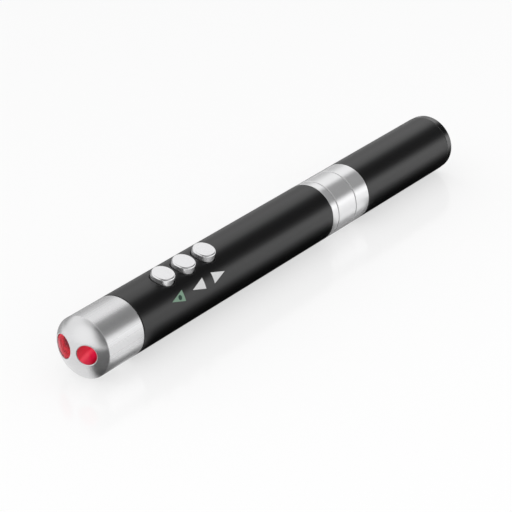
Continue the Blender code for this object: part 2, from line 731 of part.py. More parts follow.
def board_screws():
    """Two slotted screws through the guide's tabs and the board into the tray."""
    tab_top = BOARD_TOP + SEAT_GAP + GUIDE_WALL
    head_bottom = tab_top + SEAT_GAP
    head_top = head_bottom + SCREW_HEAD
    tip = BOARD_TOP - SCREW_LENGTH
    for name, along in zip(("board_screw_front", "board_screw_rear"), screw_places()):
        place = (along, 0.0, 0.0)
        profile = [
            (tip, 0.0),
            (tip, SCREW_RADIUS),
            (head_bottom, SCREW_RADIUS),
            (head_bottom, SCREW_HEAD_RADIUS),
            (head_top, SCREW_HEAD_RADIUS),
            (head_top, 0.0),
        ]
        screw = turned(name, profile, KEYPAD, place, PIN_SIDES, True)
        half = SCREW_SLOT / 2
        slot = box(
            name + "_slot",
            (along - half, -SCREW_HEAD_RADIUS - OVERRUN, head_top - SCREW_SLOT),
            (along + half, SCREW_HEAD_RADIUS + OVERRUN, head_top + OVERRUN),
            KEYPAD,
        )
        finish(cut(screw, slot), SPRING_STEEL, 0.3, 1.0)


def key_places():
    return [FIRST_KEY + index * KEY_PITCH for index in range(KEY_COUNT)]


def button_guide():
    """A hood over the switches: its top steers the stems of the keys, and its tabs are screwed down."""
    base = BOARD_TOP + SEAT_GAP
    half = GUIDE_HALF_WIDTH
    guide = box("button_guide", (GUIDE_START, -half, base), (GUIDE_END, half, GUIDE_TOP), KEYPAD)
    tab_low = (GUIDE_START - TAB_LENGTH, -TAB_HALF_WIDTH, base)
    tab_high = (GUIDE_END + TAB_LENGTH, TAB_HALF_WIDTH, base + GUIDE_WALL)
    join(guide, box("guide_tabs", tab_low, tab_high, KEYPAD))
    inner = half - GUIDE_WALL
    hollow = box(
        "guide_hollow",
        (GUIDE_START + GUIDE_WALL, -inner, base - OVERRUN),
        (GUIDE_END - GUIDE_WALL, inner, GUIDE_CEILING),
        KEYPAD,
    )
    cut(guide, hollow)
    low = base - OVERRUN
    high = GUIDE_TOP + OVERRUN
    stem_hole = KEY_STEM_RADIUS + RUN_GAP
    screw_hole = SCREW_RADIUS + RUN_GAP
    for index, along in enumerate(key_places()):
        place = (along, 0.0, 0.0)
        cut(guide, rod(f"stem_hole_{index}", low, high, stem_hole, KEYPAD, place, SMALL_SIDES, True))
    for index, along in enumerate(screw_places()):
        place = (along, 0.0, 0.0)
        cut(guide, rod(f"tab_hole_{index}", low, high, screw_hole, KEYPAD, place, PIN_SIDES, True))
    finish(guide, GREY_PLASTIC, 0.5)


def key_switch(name, along):
    """A soldered switch: a block with four legs, and the well that its plunger sinks into."""
    half = SWITCH_SIZE / 2
    bottom = BOARD_TOP + SEAT_GAP
    body = box(name, (along - half, -half, bottom), (along + half, half, SWITCH_TOP), KEYPAD)
    for side in (-1, 1):
        centre = along + side * SWITCH_LEG_PITCH / 2
        reach = SWITCH_LEG_SPAN / 2
        width = SWITCH_LEG_WIDTH / 2
        legs = box(
            f"{name}_legs_{side}",
            (centre - width, -reach, bottom),
            (centre + width, reach, bottom + SWITCH_LEG_THICKNESS),
            KEYPAD,
        )
        join(body, legs)
    well_floor = SWITCH_TOP - PLUNGER_SUNK - KEY_TRAVEL - RUN_GAP
    well = rod(
        name + "_well",
        well_floor,
        SWITCH_TOP + OVERRUN,
        PLUNGER_RADIUS + RUN_GAP,
        KEYPAD,
        (along, 0.0, 0.0),
        SMALL_SIDES,
        True,
    )
    finish(cut(body, well), BLACK_PLASTIC, 0.4)


def key_plunger(name, along):
    bottom = SWITCH_TOP - PLUNGER_SUNK
    plunger = rod(name, bottom, PLUNGER_TOP, PLUNGER_RADIUS, KEYPAD, (along, 0.0, 0.0), SMALL_SIDES, True)
    finish(plunger, WHITE_PLASTIC, 0.4)


def key_cap(name, along):
    """A chromed cap with a round shoulder, on a collar that the barrel keeps in, and its stem to the plunger."""
    dome = []
    for step in range(KEY_DOME_STEPS + 1):
        share = math.sin(math.pi / 2 * step / KEY_DOME_STEPS)
        rise = KEY_RISE * (1 - share**KEY_DOME_POWER) ** (1 / KEY_DOME_POWER)
        dome.append((PEN_RADIUS + rise, KEY_RADIUS * share))
    profile = dome + [
        (KEY_FLANGE_TOP, KEY_RADIUS),
        (KEY_FLANGE_TOP, KEY_FLANGE_RADIUS),
        (KEY_FLANGE_BOTTOM, KEY_FLANGE_RADIUS),
        (KEY_FLANGE_BOTTOM, KEY_STEM_RADIUS),
        (PLUNGER_TOP + SEAT_GAP, KEY_STEM_RADIUS),
        (PLUNGER_TOP + SEAT_GAP, 0.0),
    ]
    cap = turned(name, profile, KEYPAD, (along, 0.0, 0.0), KEY_SIDES, True)
    finish(cap, CHROME, 0.12, 1.0)


def keypad():
    names = ("laser", "page_up", "page_down")
    for name, along in zip(names, key_places()):
        key_switch(name + "_switch", along)
        key_plunger(name + "_plunger", along)
        key_cap(name + "_button", along)


def legged_block(name, centre, size, leg_span, leg_width, leg_places):
    """A block under the board with pairs of legs that lie flat against the board."""
    along, across = centre
    length, width, height = size
    top = BOARD_BOTTOM - SEAT_GAP
    low = (along - length / 2, across - width / 2, top - height)
    high = (along + length / 2, across + width / 2, top)
    block = box(name, low, high, KEYPAD)
    for index, place in enumerate(leg_places):
        legs = box(
            f"{name}_legs_{index}",
            (place - leg_width / 2, across - leg_span / 2, top - leg_width),
            (place + leg_width / 2, across + leg_span / 2, top),
            KEYPAD,
        )
        join(block, legs)
    return block


def board_parts():
    """Transistor, capacitor, chip and resonator in a row under the board, between the tray's two bosses."""
    front_boss, rear_boss = screw_places()
    row_start = front_boss + BOSS_RADIUS
    row_end = rear_boss - BOSS_RADIUS
    middle = key_places()[1]
    chip_start = middle - CHIP_LENGTH / 2
    chip_end = middle + CHIP_LENGTH / 2
    first_leg = middle - (CHIP_LEG_COUNT - 1) / 2 * CHIP_LEG_PITCH
    places = [first_leg + index * CHIP_LEG_PITCH for index in range(CHIP_LEG_COUNT)]
    size = (CHIP_LENGTH, CHIP_WIDTH, CHIP_HEIGHT)
    chip = legged_block("controller_chip", (middle, 0.0), size, CHIP_LEG_SPAN, CHIP_LEG_WIDTH, places)
    finish(chip, BLACK_PLASTIC, 0.4)

    space = (chip_start - row_start - TRANSISTOR_LENGTH - 2 * CAPACITOR_RADIUS) / 3
    along = row_start + space + TRANSISTOR_LENGTH / 2
    size = (TRANSISTOR_LENGTH, TRANSISTOR_WIDTH, TRANSISTOR_HEIGHT)
    span = TRANSISTOR_LEG_SPAN
    transistor = legged_block("driver_transistor", (along, 0.0), size, span, TRANSISTOR_LEG, [along])
    finish(transistor, BLACK_PLASTIC, 0.4)

    top = BOARD_BOTTOM - SEAT_GAP
    low_end = (chip_end + row_end - RESONATOR_LENGTH) / 2
    high_end = low_end + RESONATOR_LENGTH
    half = RESONATOR_WIDTH / 2
    resonator = box("resonator", (low_end, -half, top - RESONATOR_HEIGHT), (high_end, half, top), KEYPAD)
    finish(bevelled(resonator, RESONATOR_EDGE), NICKEL, 0.25, 1.0)

    bottom = top - CAPACITOR_HEIGHT
    can = [
        (top, 0.0),
        (top, CAPACITOR_RADIUS),
        (bottom + CAPACITOR_EDGE, CAPACITOR_RADIUS),
        (bottom, CAPACITOR_RADIUS - CAPACITOR_EDGE),
        (bottom, 0.0),
    ]
    place = (chip_start - space - CAPACITOR_RADIUS, 0.0, 0.0)
    finish(turned("capacitor", can, KEYPAD, place, SMALL_SIDES, True), SATIN_METAL, 0.3, 1.0)


def rolled(offset):
    """A place across the pen, level with its axis, as (across, out) in the keypad's frame."""
    return offset * math.cos(KEY_ROLL), -offset * math.sin(KEY_ROLL)


def leads():
    """Short leads from the diode's pins to the board's top and from the emitter's legs to its underside."""
    pad = BOARD_START + PAD_LENGTH / 2
    bend = BOARD_START - LEAD_SPACE / 4
    diode_back = HOLDER_START + HOUSING_LENGTH - DIODE_SEAT + SEAT_GAP + DIODE_FLANGE
    diode_start = diode_back + DIODE_PIN_LENGTH + SEAT_GAP
    above = BOARD_TOP + LEAD_RADIUS + SEAT_GAP
    for name, side, colour in (("laser_lead_plus", 1, RED_LEAD), ("laser_lead_minus", -1, BLACK_LEAD)):
        across, out = rolled(-LASER_OFFSET + side * DIODE_PIN_PITCH / 2)
        points = [
            (diode_start, across, out),
            ((diode_start + bend) / 2, across, (out + above + LEAD_RADIUS) / 2),
            (bend, across, above + LEAD_RADIUS),
            (pad, across, above),
        ]
        finish(wire(name, points, LEAD_RADIUS, KEYPAD), colour, 0.5)
    emitter_start = HOLDER_END + RUN_GAP + SEAT_GAP
    below = BOARD_BOTTOM - LEAD_RADIUS - SEAT_GAP
    for name, side, colour in (("emitter_lead_plus", 1, RED_LEAD), ("emitter_lead_minus", -1, BLACK_LEAD)):
        across, out = rolled(EMITTER_OFFSET + side * EMITTER_PIN_PITCH / 2)
        points = [
            (emitter_start, across, out),
            ((emitter_start + bend) / 2, across, out),
            (bend, across, (out + below) / 2),
            (pad, across, below),
        ]
        finish(wire(name, points, LEAD_RADIUS, KEYPAD), colour, 0.5)


def ground_spring():
    """A bent wire that stands on the board beside the guide and presses on the barrel's wall."""
    reach = BORE_FLAT - GROUND_WIRE_RADIUS - SEAT_GAP
    foot_w = BOARD_TOP + GROUND_WIRE_RADIUS + SEAT_GAP
    foot_v = GUIDE_HALF_WIDTH + GROUND_WIRE_RADIUS + RUN_GAP
    crown_w = (foot_w + GUIDE_TOP) / 2
    crown_v = math.sqrt(reach**2 - crown_w**2)
    middle = (key_places()[0] + key_places()[1]) / 2
    half = GROUND_SPRING_LENGTH / 2
    points = [
        (middle - half, foot_v, foot_w),
        (middle - half / 2, (foot_v + crown_v) / 2, (foot_w + crown_w) / 2),
        (middle, crown_v, crown_w),
        (middle + half / 2, (foot_v + crown_v) / 2, (foot_w + crown_w) / 2),
        (middle + half, foot_v, foot_w),
    ]
    finish(wire("ground_spring", points, GROUND_WIRE_RADIUS, KEYPAD), SPRING_STEEL, 0.3, 1.0)


def front_barrel():
    """A tube with a hole for each key. Its long faces end at the keypad, clear of the holes."""
    stations = [BARREL_START, FIRST_KEY - KEY_PITCH / 2, LAST_KEY + KEY_PITCH / 2, BARREL_END]
    outside = [(along, PEN_RADIUS) for along in stations]
    inside = [(along, BARREL_BORE) for along in reversed(stations)]
    barrel = turned("front_barrel", outside + inside, PEN, ON_AXIS, PEN_SIDES)
    low = KEY_FLANGE_BOTTOM
    high = PEN_RADIUS + OVERRUN
    radius = KEY_RADIUS + RUN_GAP
    for index, along in enumerate(key_places()):
        place = (along, 0.0, 0.0)
        cut(barrel, rod(f"key_hole_{index}", low, high, radius, KEYPAD, place, KEY_SIDES, True))
    finish(barrel, SATIN_BLACK, 0.45)


def cell(name, start):
    """A AAA cell whose nub points to the nose."""
    radius = CELL_DIAMETER / 2
    can_start = start + NUB_HEIGHT
    end = start + CELL_LENGTH
    profile = [
        (start, 0.0),
        (start, NUB_RADIUS),
        (can_start, NUB_RADIUS),
        (can_start, radius - CELL_EDGE),
        (can_start + CELL_EDGE, radius),
        (end - CELL_EDGE, radius),
        (end, radius - CELL_EDGE),
        (end, 0.0),
    ]
    finish(turned(name, profile, PEN, ON_AXIS, KEY_SIDES), CELL_GREY, 0.35, 0.6)


def power():
    cell("battery_front", FRONT_CELL_START)
    cell("battery_rear", REAR_CELL_START)
    liner_start = BULKHEAD_END + SEAT_GAP
    liner_end = COLLAR_START - SEAT_GAP
    liner = tube("battery_liner", liner_start, liner_end, BORE_RADIUS, CORE_RADIUS, PEN, ON_AXIS, PEN_SIDES)
    finish(liner, GREY_PLASTIC, 0.6)
    spring = coil(
        "tail_spring",
        CELLS_END + SEAT_GAP,
        PLUG_FLOOR - SEAT_GAP,
        TAIL_SPRING_TIP,
        TAIL_SPRING_FOOT,
        TAIL_SPRING_TURNS,
        TAIL_SPRING_WIRE,
        PEN,
        ON_AXIS,
    )
    finish(spring, SPRING_STEEL, 0.3, 1.0)


def band_ring(name, start, end):
    """A bright ring with eased edges, slipped over the collar or the neck."""
    edge = PEN_RADIUS - RING_CHAMFER
    loop = [
        (start, RING_BORE),
        (start, edge),
        (start + RING_CHAMFER, PEN_RADIUS),
        (end - RING_CHAMFER, PEN_RADIUS),
        (end, edge),
        (end, RING_BORE),
    ]
    finish(turned(name, loop, PEN, ON_AXIS, PEN_SIDES), SATIN_METAL, 0.2, 1.0)


def band():
    half = BAND_GROOVE / 2
    band_ring("front_ring", BARREL_END + SEAT_GAP, RING_END - half)
    band_ring("middle_ring", RING_END + half, MIDDLE_END - half)
    band_ring("rear_ring", MIDDLE_END + half, BAND_END)


def threaded_collar():
    """Pressed into the front barrel. Its thread is drawn as ridges, one for each turn."""
    crest = THREAD_PITCH * THREAD_CREST_SHARE
    flank = (THREAD_PITCH - 2 * crest) / 2
    ridges = []
    for turn in range(THREAD_TURNS):
        foot = THREAD_START + turn * THREAD_PITCH
        ridges += [
            (foot, THREAD_ROOT),
            (foot + flank, THREAD_CREST),
            (foot + flank + crest, THREAD_CREST),
            (foot + flank + crest + flank, THREAD_ROOT),
        ]
    loop = [
        (COLLAR_START, BORE_RADIUS),
        (COLLAR_START, CORE_RADIUS),
        (BARREL_END + SEAT_GAP, CORE_RADIUS),
        (BARREL_END + SEAT_GAP, NECK_RADIUS),
        (RING_END, NECK_RADIUS),
        (RING_END, THREAD_ROOT),
    ]
    loop += ridges + [(COLLAR_END, THREAD_ROOT), (COLLAR_END, BORE_RADIUS)]
    finish(turned("threaded_collar", loop, PEN, ON_AXIS, PEN_SIDES), NICKEL, 0.25, 1.0)


def seal_ring():
    start = RING_END + SEAT_GAP
    inner = THREAD_ROOT + SEAL_LIP
    outer = NECK_RADIUS - SEAL_LIP
    ring = tube("seal_ring", start, start + SEAL_THICKNESS, inner, outer, PEN, ON_AXIS, PEN_SIDES)
    finish(ring, SEAL_BLACK, 0.7)


def rear_barrel():
    """The neck under the rings is bored for the collar, and the tail is bored for the plug."""
    shoulder = BAND_END + SEAT_GAP
    loop = [
        (NECK_START, NECK_BORE),
        (NECK_START, NECK_RADIUS),
        (shoulder, NECK_RADIUS),
        (shoulder, PEN_RADIUS),
        (REAR_BARREL_END, PEN_RADIUS),
        (REAR_BARREL_END, PLUG_SEAT_RADIUS),
        (PLUG_SEAT_START, PLUG_SEAT_RADIUS),
        (PLUG_SEAT_START, BORE_RADIUS),
        (NECK_STEP, BORE_RADIUS),
        (NECK_STEP, NECK_BORE),
    ]
    finish(turned("rear_barrel", loop, PEN, ON_AXIS, PEN_SIDES), SATIN_BLACK, 0.45)


def tail_plug():
    """A glossy end plug with a rounded rim, hollowed for the tail spring."""
    end_radius = PEN_RADIUS - PLUG_TAPER
    ring_start = REAR_BARREL_END + SEAT_GAP
    profile = [
        (PLUG_FLOOR, 0.0),
        (PLUG_FLOOR, PLUG_POCKET_RADIUS),
        (PLUG_SEAT_START + SEAT_GAP, PLUG_POCKET_RADIUS),
        (PLUG_SEAT_START + SEAT_GAP, PLUG_SPIGOT_RADIUS),
        (ring_start, PLUG_SPIGOT_RADIUS),
        (ring_start, PEN_RADIUS),
        (PEN_LENGTH - PLUG_ROUND, end_radius),
        (PEN_LENGTH - PLUG_ROUND / 4, end_radius - PLUG_ROUND / 4),
        (PEN_LENGTH, end_radius - PLUG_ROUND),
        (PEN_LENGTH, 0.0),
    ]
    finish(turned("tail_plug", profile, PEN, ON_AXIS, PEN_SIDES), GLOSS_BLACK, 0.1)


def settle():
    """Fixes each piece's modifiers into its mesh, and shades it smooth up to its sharp edges."""
    bpy.context.view_layer.update()
    graph = bpy.context.evaluated_depsgraph_get()
    pieces = [obj for obj in PARTS.objects if obj.type == "MESH"]
    meshes = [bpy.data.meshes.new_from_object(obj.evaluated_get(graph)) for obj in pieces]
    for obj, mesh in zip(pieces, meshes):
        obj.modifiers.clear()
        obj.data = mesh
        mesh.shade_smooth()
        mesh.set_sharp_from_angle(angle=SHARP_ANGLE)


def main():
    nose_cap()
    window("laser_window", LASER_PORT_RADIUS, -LASER_OFFSET, LASER_WINDOW_BACK)
    window("emitter_window", EMITTER_PORT_RADIUS, EMITTER_OFFSET, EMITTER_WINDOW_BACK)
    emitter_reflector()
    infrared_emitter()
    laser_module()
    optics_holder()
    chassis()
    front_contact()
    circuit_board()
    board_screws()
    button_guide()
    keypad()
    board_parts()
    leads()
    ground_spring()
    front_barrel()
    power()
    band()
    threaded_collar()
    seal_ring()
    rear_barrel()
    tail_plug()
    settle()


clear_scene()
PARTS = new_collection("Laser pointer")
CUTTERS = new_collection("Cutters")
PEN = new_frame("pen_axis", PARTS, (-PEN_LENGTH / 2, 0.0, AXIS_HEIGHT))
KEYPAD = new_frame("keypad_axis", PARTS, (-PEN_LENGTH / 2, 0.0, AXIS_HEIGHT), KEY_ROLL)
main()
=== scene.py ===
"""Looks of a laser pointer pen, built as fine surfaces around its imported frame.

The pen lies along X with its nose towards -X, and its axis is AXIS_HEIGHT above the floor of the frame.
A place round the pen is an angle from straight up towards -Y. Lengths are in metres.
The keypad's own directions are rolled about the pen's axis by KEY_ROLL: across, and out through the keys.
"""

import json
import math

import bmesh
import bpy
import numpy as np
from mathutils import Matrix, Vector


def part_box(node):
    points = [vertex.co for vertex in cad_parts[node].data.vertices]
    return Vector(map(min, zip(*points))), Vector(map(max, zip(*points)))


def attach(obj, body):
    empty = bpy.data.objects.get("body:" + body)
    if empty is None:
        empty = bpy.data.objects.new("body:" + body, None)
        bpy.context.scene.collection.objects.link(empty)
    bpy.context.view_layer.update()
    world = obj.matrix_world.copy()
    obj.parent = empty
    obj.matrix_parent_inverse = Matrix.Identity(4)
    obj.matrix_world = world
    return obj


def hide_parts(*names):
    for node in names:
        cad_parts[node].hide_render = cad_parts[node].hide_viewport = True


bl_info = {
    "name": "Laser pointer pen",
    "version": (1, 0, 0),
    "blender": (4, 5, 0),
    "location": "3D View > Sidebar > Pen",
    "description": "Builds the finished surfaces of a laser pointer pen around its frame",
    "category": "Add Mesh",
}

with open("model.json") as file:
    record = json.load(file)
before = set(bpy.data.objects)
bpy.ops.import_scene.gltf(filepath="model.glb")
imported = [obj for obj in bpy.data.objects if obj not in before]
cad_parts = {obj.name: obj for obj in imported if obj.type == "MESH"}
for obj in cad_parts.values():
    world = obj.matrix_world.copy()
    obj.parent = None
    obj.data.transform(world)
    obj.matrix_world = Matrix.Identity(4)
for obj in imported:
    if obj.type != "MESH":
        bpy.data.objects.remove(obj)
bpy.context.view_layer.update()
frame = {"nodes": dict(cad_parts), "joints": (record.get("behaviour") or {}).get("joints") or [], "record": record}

MM = 0.001
MERGE_DISTANCE = 0.0002 * MM
SHARP_ANGLE = math.radians(32)

# Steps of the fine surfaces: numbers of them round and across, and lengths of the runs along a profile
ROUND_SIDES = 160
SMALL_SIDES = 96
SPLIT_STEPS = 48
ARC_STEPS = 6
SUPPORT = 0.03 * MM
RUN_STEP = 1.5 * MM

# Flat sides of the frame's own round pieces
FRAME_SIDES = 32
FRAME_PORT_SIDES = 28
FRAME_CELL_SIDES = 24

# Gaps in the frame that its boxes don't show
RUN_GAP = 0.1 * MM
CELL_GAP = 0.25 * MM
RING_JOINT = 0.12 * MM


def low(node):
    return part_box(node)[0]


def high(node):
    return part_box(node)[1]


def round_size(node, sides):
    """Radius of a faceted round piece along X, from its width in Y and its number of sides."""
    return (high(node).y - low(node).y) / 2 / math.cos(math.pi / sides)


# Places and sizes read from the frame
AXIS_HEIGHT = (low("nose_cap").z + high("nose_cap").z) / 2
PEN_RADIUS = round_size("nose_cap", FRAME_SIDES)
SEAT_GAP = low("front_barrel").x - high("nose_cap").x
TIP = low("nose_cap").x
NOSE_END = high("nose_cap").x
POCKET_FLOOR = low("optics_holder").x - SEAT_GAP
CORE_RADIUS = round_size("optics_holder", FRAME_SIDES)
BARREL_BORE = CORE_RADIUS + SEAT_GAP
BARREL_START = low("front_barrel").x
BARREL_END = high("front_barrel").x
COLLAR_START = low("threaded_collar").x
COLLAR_END = high("threaded_collar").x
BORE_RADIUS = round_size("battery_front", FRAME_CELL_SIDES) + CELL_GAP
NECK_RADIUS = round_size("threaded_collar", FRAME_SIDES)
RING_BORE = NECK_RADIUS + SEAT_GAP
NECK_START = low("rear_barrel").x
REAR_BARREL_END = high("rear_barrel").x
BAND_END = high("rear_ring").x
PLUG_START = low("tail_plug").x
PLUG_END = high("tail_plug").x
LASER_OFFSET = (low("laser_window").y + high("laser_window").y) / 2
EMITTER_OFFSET = (low("emitter_window").y + high("emitter_window").y) / 2
LASER_PORT = round_size("laser_window", FRAME_PORT_SIDES) + SEAT_GAP
EMITTER_PORT = round_size("emitter_window", FRAME_PORT_SIDES) + SEAT_GAP
KEYS = ("laser_button", "page_up_button", "page_down_button")
KEY_PLACES = [(low(key).x + high(key).x) / 2 for key in KEYS]
KEY_PITCH = KEY_PLACES[1] - KEY_PLACES[0]
KEY_ROLL = math.atan2(*[abs(axis) for axis in frame["joints"][0]["axis"][1:]])

# Sizes of the frame's pieces that their boxes don't show
DOME_DEPTH = 3.3 * MM
DOME_ROUND_POWER = 2.24
DOME_SHOULDER_POWER = 1.28
KEY_RADIUS = 2.95 * MM
KEY_RISE = 1.5 * MM
KEY_STEM_RADIUS = 1.4 * MM
KEY_FLANGE_RADIUS = 3.45 * MM
KEY_FLANGE = 0.6 * MM
THREAD_PITCH = 1.0 * MM
THREAD_TURNS = 5
THREAD_RELIEF = 0.7 * MM
THREAD_DEPTH = 0.35 * MM
COLLAR_WALL = 0.55 * MM
NECK_WALL = 0.45 * MM
NECK_ROOM = 1.0 * MM
PLUG_SLEEVE = 1.2 * MM
PLUG_WALL = 1.6 * MM
PLUG_DEPTH = 2.8 * MM
CREASE = TIP + DOME_DEPTH
THREAD_ROOT = BORE_RADIUS + COLLAR_WALL
NECK_BORE = NECK_RADIUS - NECK_WALL
RING_END = high("front_ring").x + RING_JOINT

# Sizes of the finished panes and keys
WINDOW_RECESS = 0.14 * MM
PANE_GAP = 0.02 * MM
PANE_THICKNESS = 0.5 * MM
PANE_BEVEL = 0.05 * MM
PANE_EDGE_FADE = 0.04 * MM
KEY_CROWN = 0.1 * MM
KEY_TOP_RADIUS = 2.83 * MM
KEY_WALL_RADIUS = 2.87 * MM
KEY_SHOULDER_ROUND = 0.42 * MM

# Direction (y, z) across the painted highlight in the smaller pane, and the colours along that direction: lightest
# in the middle, darker towards both ends
PAINTED_HIGHLIGHT_DIRECTION = (0.78, 0.62)
PAINTED_HIGHLIGHT_STOPS = ((0.0, "A80420"), (0.3, "E81440"), (0.5, "FF4058"), (0.66, "E00C30"), (1.0, "C80626"))


def linear(code):
    """Linear red, green and blue of an sRGB hex colour."""
    shares = [int(code[place : place + 2], 16) / 255 for place in (0, 2, 4)]
    return tuple(s / 12.92 if s <= 0.04045 else ((s + 0.055) / 1.055) ** 2.4 for s in shares)


def length(name, description, default):
    return bpy.props.FloatProperty(
        name=name, description=description, default=default, unit="LENGTH", precision=5
    )


def colour(name, description, code):
    return bpy.props.FloatVectorProperty(
        name=name, description=description, default=linear(code), size=3, subtype="COLOR", min=0.0, max=1.0
    )


class PenSizes(bpy.types.PropertyGroup):
    """Small sizes of the finished surfaces."""

    port_edge: length("Port edge", "Rounding where a port meets the domed front", 0.2 * MM)
    nose_edge: length("Nose edge", "Bright chamfer at the rear of the nose cap", 0.28 * MM)
    bowl_root: length("Bowl root", "Radius of the faceted reflector's hole for the emitter", 1.75 * MM)
    hole_edge: length("Key hole edge", "Rounding round the holes for the keys", 0.08 * MM)
    ring_edge: length("Ring edge", "Rounding at the edges of the band's rings", 0.13 * MM)
    plug_round: length("Plug rounding", "Rounding of the tail plug's rim", 0.35 * MM)
    mark_length: length("Mark length", "Length of a printed triangle along the pen", 4.45 * MM)
    mark_width: length("Mark width", "Width of a printed triangle round the pen", 2.75 * MM)
    mark_shift: length("Mark shift", "How far a mark's middle lies in front of its key's", 0.35 * MM)
    ink: length("Ink", "Thickness of the printed ink", 0.02 * MM)
    mark_angle: bpy.props.FloatProperty(
        name="Mark angle",
        description="Place of the marks round the pen",
        default=math.radians(63.4),
        subtype="ANGLE",
    )
    dot_radius: length("Dot radius", "Radius of the dot on the green mark", 0.6 * MM)


class PenColours(bpy.types.PropertyGroup):
    """Colours of the finishes that show."""

    nose: colour("Nose", "Satin brushed metal of the nose cap", "E2E2E3")
    band: colour("Band", "Polished metal of the band", "EEEEEF")
    keys: colour("Keys", "Satin chrome of the keys", "F0F0F1")
    barrel: colour("Barrel", "Satin black of the barrels", "080809")
    tail: colour("Tail", "Glossy black of the tail plug", "060607")
    laser_window: colour("Laser window", "Red acrylic of the smaller window", "D00A30")
    emitter_window: colour("Emitter window", "Clearer red acrylic of the larger window", "FFA0B0")
    # Pale colour of the painted highlight round the edges of both windows
    window_edge_highlight: colour("Window edge", "Pale bevelled edges of both windows", "F0B4BC")
    white_ink: colour("White ink", "Two of the printed marks", "DCDCDC")
    green_ink: colour("Green ink", "The first printed mark", "7A9A84")
    dot_ink: colour("Dot ink", "Dot on the green mark", "143C2E")


def sizes():
    return bpy.context.scene.pen_sizes


def colours():
    return bpy.context.scene.pen_colours


# Surfaces


def grid_faces(rows, columns, first, wrapped):
    """Quads between neighbouring rows and columns. A wrapped grid joins its last column to its first."""
    row = np.arange(rows - 1)[:, None] * columns
    column = np.arange(columns if wrapped else columns - 1)[None, :]
    following = (column + 1) % columns
    quads = np.stack([row + column, row + following, row + columns + following, row + columns + column], -1)
    return quads.reshape(-1, 4) + first


def piece(name, sheets, body, material, replaced=()):
    """One closed solid from grids of points, each with whether it wraps. Their shared borders are merged."""
    points = np.concatenate([grid.reshape(-1, 3) for grid, wrapped in sheets])
    firsts = np.cumsum([0] + [grid.shape[0] * grid.shape[1] for grid, wrapped in sheets[:-1]])
    faces = [grid_faces(*grid.shape[:2], first, wrapped) for (grid, wrapped), first in zip(sheets, firsts)]
    mesh = bpy.data.meshes.new(name)
    mesh.from_pydata(points.tolist(), [], np.concatenate(faces).tolist())
    work = bmesh.new()
    work.from_mesh(mesh)
    bmesh.ops.remove_doubles(work, verts=work.verts, dist=MERGE_DISTANCE)
    bmesh.ops.recalc_face_normals(work, faces=work.faces)
    open_edges = [edge for edge in work.edges if not edge.is_manifold]
    if open_edges:
        place = [round(value / MM, 3) for value in open_edges[0].verts[0].co]
        raise RuntimeError(f"{name} has {len(open_edges)} open edges, one of them at {place} mm")
    if work.calc_volume(signed=True) < 0:
        bmesh.ops.reverse_faces(work, faces=work.faces)
    work.to_mesh(mesh)
    work.free()
    mesh.shade_smooth()
    mesh.set_sharp_from_angle(angle=SHARP_ANGLE)
    mesh.materials.append(material)
    obj = bpy.data.objects.new(name, mesh)
    bpy.context.scene.collection.objects.link(obj)
    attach(obj, body)
    if replaced:
        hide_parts(*replaced)
    return obj


def round_corner(before, corner, after, size):
    """An arc tangent to both sides, centred on the bisector at size / sin(half the corner's angle)."""
    to_before = (before - corner) / np.linalg.norm(before - corner)
    to_after = (after - corner) / np.linalg.norm(after - corner)
    half = math.acos(np.clip(to_before @ to_after, -1, 1)) / 2
    bisector = (to_before + to_after) / np.linalg.norm(to_before + to_after)
    centre = corner + bisector * size / math.sin(half)
    start = corner + to_before * size / math.tan(half) - centre
    end = corner + to_after * size / math.tan(half) - centre
    first = math.atan2(start[1], start[0])
    turn = (math.atan2(end[1], end[0]) - first + math.pi) % (2 * math.pi) - math.pi
    angles = first + turn * np.linspace(0, 1, ARC_STEPS + 1)
    return centre + size * np.stack([np.cos(angles), np.sin(angles)], -1)


def divided(start, end):
    """Shares of a straight run: close to each end for crisp shading, and evenly between."""
    run = np.linalg.norm(end - start)
    if run <= 4 * SUPPORT:
        return np.array([0.0])
    edge = SUPPORT / run
    return np.concatenate([[0.0], np.linspace(edge, 1 - edge, max(2, math.ceil(run / RUN_STEP) + 1))])


def outline(corners, closed=False):
    """Points of a turned profile from corners (along, radius, rounding), with an arc at each round one."""
    points = np.array([corner[:2] for corner in corners], float)
    count = len(points)
    knots = []
    for index, corner in enumerate(corners):
        inner = closed or 0 < index < count - 1
        if inner and corner[2] > 0:
            following = points[(index + 1) % count]
            knots.append(round_corner(points[index - 1], points[index], following, corner[2]))
        else:
            knots.append(points[index : index + 1])
    knots = np.concatenate(knots)
    ends = np.roll(knots, -1, axis=0) if closed else knots[1:]
    runs = [start + divided(start, end)[:, None] * (end - start) for start, end in zip(knots, ends)]
    return np.concatenate(runs + [knots[:1] if closed else knots[-1:]])


def on_pen(along, radius, angle):
    """World points from places along the pen, radii round its axis and angles from straight up towards -Y."""
    along, radius, angle = np.broadcast_arrays(along, radius, angle)
    return np.stack([along, -radius * np.sin(angle), AXIS_HEIGHT + radius * np.cos(angle)], -1)


def on_keypad(along, across, out):
    """World points from the keypad's own directions, rolled about the pen's axis."""
    along, across, out = np.broadcast_arrays(along, across, out)
    y = across * math.cos(KEY_ROLL) - out * math.sin(KEY_ROLL)
    z = across * math.sin(KEY_ROLL) + out * math.cos(KEY_ROLL)
    return np.stack([along, y, AXIS_HEIGHT + z], -1)


def full_turn(count=ROUND_SIDES):
    return np.arange(count) * 2 * math.pi / count


def turned(profile, offset=0.0, angles=None):
    """A profile of (along, radius) swept round an axis parallel to the pen's, offset in Y."""
    angles = full_turn() if angles is None else angles
    grid = on_pen(profile[:, :1], profile[:, 1:], angles[None, :])
    grid[..., 1] += offset
    return grid, True


def dome_place(radius, recess=0.0):
    """The domed front: depth falls with the radius's share u as (1 - u ** round) ** (1 / shoulder)."""
    share = np.clip(radius / PEN_RADIUS, 0, 1)
    return CREASE + recess - DOME_DEPTH * (1 - share**DOME_ROUND_POWER) ** (1 / DOME_SHOULDER_POWER)


# Finishes


